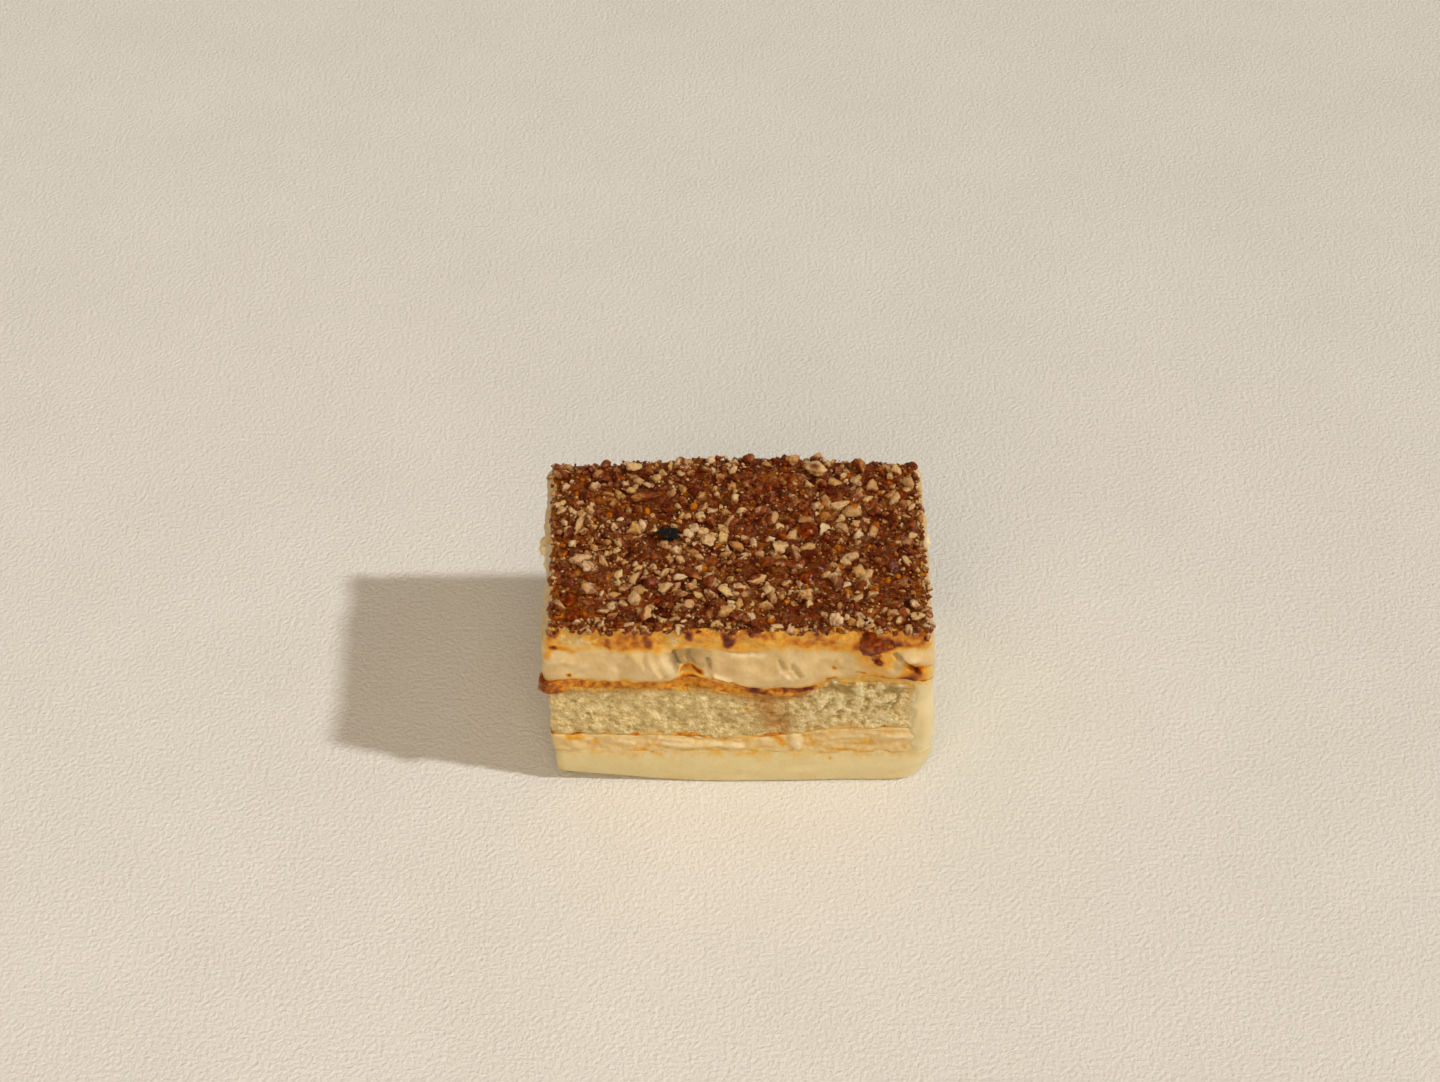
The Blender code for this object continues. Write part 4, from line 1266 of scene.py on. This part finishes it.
def medium_pecans(look):
    draw = random.Random(18)
    taken = [(x, y, 0.8 * max(a, b)) for x, y, a, b, *_ in LANDMARKS.values()]
    heap = Heap(3, 202)
    for x, y, size, z in scattered(draw, "medium", taken):
        dims = (size * draw.uniform(0.95, 1.4), size * draw.uniform(0.6, 1.0), size * draw.uniform(0.6, 0.95))
        sunk = 0.2 * float(glaze_share(x, y))
        place = (x, y, z + (draw.uniform(-0.2, 0.14) - sunk) * size)
        tilt = (draw.uniform(-0.7, 0.7), draw.uniform(-0.7, 0.7))
        skin = draw.choice((0, 0, 0, 0.3, 0.5, 0.8))
        tone, glaze = nut_looks(draw, x, y, 0.95)
        heap.add(place, dims, draw.uniform(0, math.tau), tilt, tone, skin, glaze, cuts=7, rough=0.12)
    heap.finish("pecan_pieces", look)


# Crumbs on the topping's rim: how many on each side, and where the side starts and ends as X and Y
RIM_SIDES = (
    (110, (-37.2, -25.0), (37.0, -25.0)),
    (60, (36.9, -25.0), (36.9, 25.0)),
    (90, (36.8, 25.1), (-37.0, 25.1)),
    (30, (-36.5, 25.0), (-36.5, -25.0)),
)


def rim_places(draw):
    made = []
    for count, start, end in RIM_SIDES:
        for _ in range(count):
            share = draw.random()
            x, y = (a + (b - a) * share + draw.uniform(-0.4, 0.4) for a, b in zip(start, end))
            made.append((x, y, 0.7 + 1.6 * draw.random() ** 2))
    made = np.array(made)
    made[:, 0] = reach_left(made[:, 0], made[:, 1])
    heights = topping_top(made[:, 0], made[:, 1]) - 0.25 * made[:, 2]
    return np.column_stack([made, heights]).tolist()


def crumbs(look):
    draw = random.Random(19)
    heap = Heap(2, 203)
    for x, y, size, z in scattered(draw, "crumbs") + rim_places(draw):
        dims = (size * draw.uniform(0.9, 1.5), size * draw.uniform(0.6, 1.0), size * draw.uniform(0.55, 0.95))
        place = (x, y, z + draw.uniform(-0.25, 0.4) * size)
        tilt = (draw.uniform(-0.9, 0.9), draw.uniform(-0.9, 0.9))
        skin = draw.choice((0, 0, 0.4, 0.9))
        tone, glaze = nut_looks(draw, x, y, 0.75)
        heap.add(place, dims, draw.uniform(0, math.tau), tilt, tone, skin, glaze, cuts=6, rough=0.12)
    heap.finish("pecan_crumbs", look, broken=False)


def grains(look):
    draw = random.Random(20)
    heap = Heap(1, 204)
    for x, y, size, z in scattered(draw, "grains"):
        dims = (size * draw.uniform(0.9, 1.5), size, size * draw.uniform(0.6, 1.0))
        place = (x, y, z + draw.uniform(0.0, 0.35))
        tone, glaze = nut_looks(draw, x, y, 0.6)
        heap.add(place, dims, draw.uniform(0, math.tau), (0, 0), tone, glaze=glaze, cuts=4, rough=0.15)
    heap.finish("pecan_grains", look, broken=False)


# Large beads of caramel on the nuts: X, Y and size
LARGE_BEADS = (
    (13.8, -9.5, 4.0),
    (14.1, 3.1, 4.6),
    (-33.2, -16.5, 3.6),
    (33.0, 15, 3.4),
    (-32, -20.5, 3.4),
    (8.8, 1.7, 2.6),
)


def caramel_beads(look):
    draw = random.Random(21)
    heap = Heap(3, 205)
    for x, y, size in LARGE_BEADS:
        z = bed_height_at(x, y) + 0.05 * size
        dims = (size, size * 0.85, size * 0.5)
        heap.add((x, y, z), dims, draw.uniform(0, 6), (0, 0), 0.35, rough=0.2)
    for x, y, size, z in scattered(draw, "beads"):
        place = (x, y, z + draw.uniform(-0.15, 0.08) * size)
        dims = (size * draw.uniform(0.9, 1.4), size * 0.8, size * draw.uniform(0.35, 0.6))
        tilt = (draw.uniform(-0.4, 0.4), draw.uniform(-0.4, 0.4))
        heap.add(place, dims, draw.uniform(0, 6), tilt, draw.betavariate(1.2, 1.6), rough=0.12)
    heap.finish("caramel_beads", look, broken=False)


# The lumps of the drip: the middle, the size and how clear its caramel is
DRIP_LUMPS = (
    ((25.9, -25.9, 38.0), (4.8, 2.0, 5.0), 0.45),
    ((25.4, -24.6, 40.3), (3.6, 2.8, 1.8), 0.4),
    ((29.0, -25.8, 37.8), (2.2, 1.2, 1.6), 0.6),
    ((26.8, -25.9, 35.6), (2.4, 1.0, 2.2), 0.7),
    ((27.2, -26.1, 33.9), (1.5, 0.9, 1.4), 0.4),
)
# Lumps of cream that stand out at the ends: the middle and the size
CREAM_LUMPS = (
    ((-38.4, 7.0, 34.2), (3.6, 4.6, 3.0)),
    ((-38.1, 3.2, 33.0), (2.0, 3.2, 2.6)),
    ((38.2, 7.4, 35.4), (1.8, 3.4, 2.4)),
    ((37.9, -3.0, 33.6), (1.4, 4.2, 2.0)),
)


def caramel_drip(look):
    """Thick caramel that ran over the front edge."""
    heap = Heap(5, 206)
    for centre, size, tone in DRIP_LUMPS:
        heap.add(centre, size, 0, (0, 0), tone)
    heap.finish("caramel_drip", look, broken=False)


def cream_lumps(look):
    heap = Heap(4, 207)
    for centre, size in CREAM_LUMPS:
        heap.add(centre, size, 0, (0, 0), 1, rough=0.14)
    values = heap.values
    heap.values = {"white": values["tone"], "shade": values["skin"], "caramel": values["burnt"]}
    heap.finish("cream_lumps", look, "cream", broken=False)


# The studio, in metres

FLOOR_HALF = 2.0
SLICE_MIDDLE = (0, 0, 0.02)
SUN_FROM = (45.5, -9.7, 40)  # the direction that the key light comes from
SUN_ENERGY = 2.12
SUN_ANGLE = 3.5
SUN_COLOUR = (1.0, 0.985, 0.96)
# Each soft box: its place, its size, its power and its colour
SOFT_BOXES = {
    "front_box": ((-0.15, -1.1, 0.75), (1.2, 0.9), 9.3, (1.0, 0.82, 0.62)),
    "overhead_box": ((-0.2, -0.2, 1.4), (2.0, 2.0), 6.4, (1.0, 0.84, 0.68)),
}
WORLD_COLOUR = (1.0, 0.83, 0.66)
WORLD_STRENGTH = 0.12
CAMERA_PLACE = (-0.0035, -0.4024, 0.4044)
CAMERA_DOWN = 42
LENS = 68
SENSOR = 36


def floor():
    mesh = bpy.data.meshes.new("floor")
    corners = [(x * FLOOR_HALF, y * FLOOR_HALF, 0) for x, y in ((-1, -1), (1, -1), (1, 1), (-1, 1))]
    mesh.from_pydata(corners, [], [(0, 1, 2, 3)])
    mesh.materials.append(floor_material())
    obj = bpy.data.objects.new("floor", mesh)
    bpy.context.scene.collection.objects.link(obj)


def soft_box(name, place, size, power, colour):
    """A soft box aimed at the middle of the slice, left out of its reflections."""
    data = bpy.data.lights.new(name, "AREA")
    data.shape = "RECTANGLE"
    data.size, data.size_y = size
    data.energy = power
    data.color = colour
    obj = bpy.data.objects.new(name, data)
    obj.location = place
    obj.rotation_euler = (Vector(place) - Vector(SLICE_MIDDLE)).to_track_quat("Z", "Y").to_euler()
    obj.visible_glossy = False
    bpy.context.scene.collection.objects.link(obj)


def lights():
    scene = bpy.context.scene
    key = bpy.data.lights.new("key", "SUN")
    key.energy = SUN_ENERGY
    key.angle = math.radians(SUN_ANGLE)
    key.color = SUN_COLOUR
    obj = bpy.data.objects.new("key", key)
    obj.rotation_euler = Vector(SUN_FROM).to_track_quat("Z", "Y").to_euler()
    scene.collection.objects.link(obj)
    for name, values in SOFT_BOXES.items():
        soft_box(name, *values)
    world = bpy.data.worlds.new("studio")
    world.use_nodes = True
    background = world.node_tree.nodes["Background"]
    background.inputs["Color"].default_value = (*WORLD_COLOUR, 1)
    background.inputs["Strength"].default_value = WORLD_STRENGTH
    scene.world = world


def camera():
    """Square to the front cut, looking down at it."""
    data = bpy.data.cameras.new("camera")
    data.lens, data.sensor_width = LENS, SENSOR
    data.clip_start, data.clip_end = 0.01, 20
    obj = bpy.data.objects.new("camera", data)
    obj.location = CAMERA_PLACE
    obj.rotation_euler = (math.radians(90 - CAMERA_DOWN), 0, 0)
    bpy.context.scene.collection.objects.link(obj)
    bpy.context.scene.camera = obj


base_look = base_layer()
lower_cream()
seam_look = lower_caramel_line()
sponge_layer()
caramel_seam(seam_look)
thick_cream()
side_coat(base_look)
topping_bed()
pecan_look = pecan_material()
for pieces in (large_pecans, medium_pecans, crumbs, grains):
    pieces(pecan_look)
bead_look = bead_material()
caramel_beads(bead_look)
caramel_drip(bead_look)
cream_lumps(cream_material("cream_lump_looks", *CREAM))
floor()
lights()
camera()
bpy.context.scene.view_settings.view_transform = "Standard"
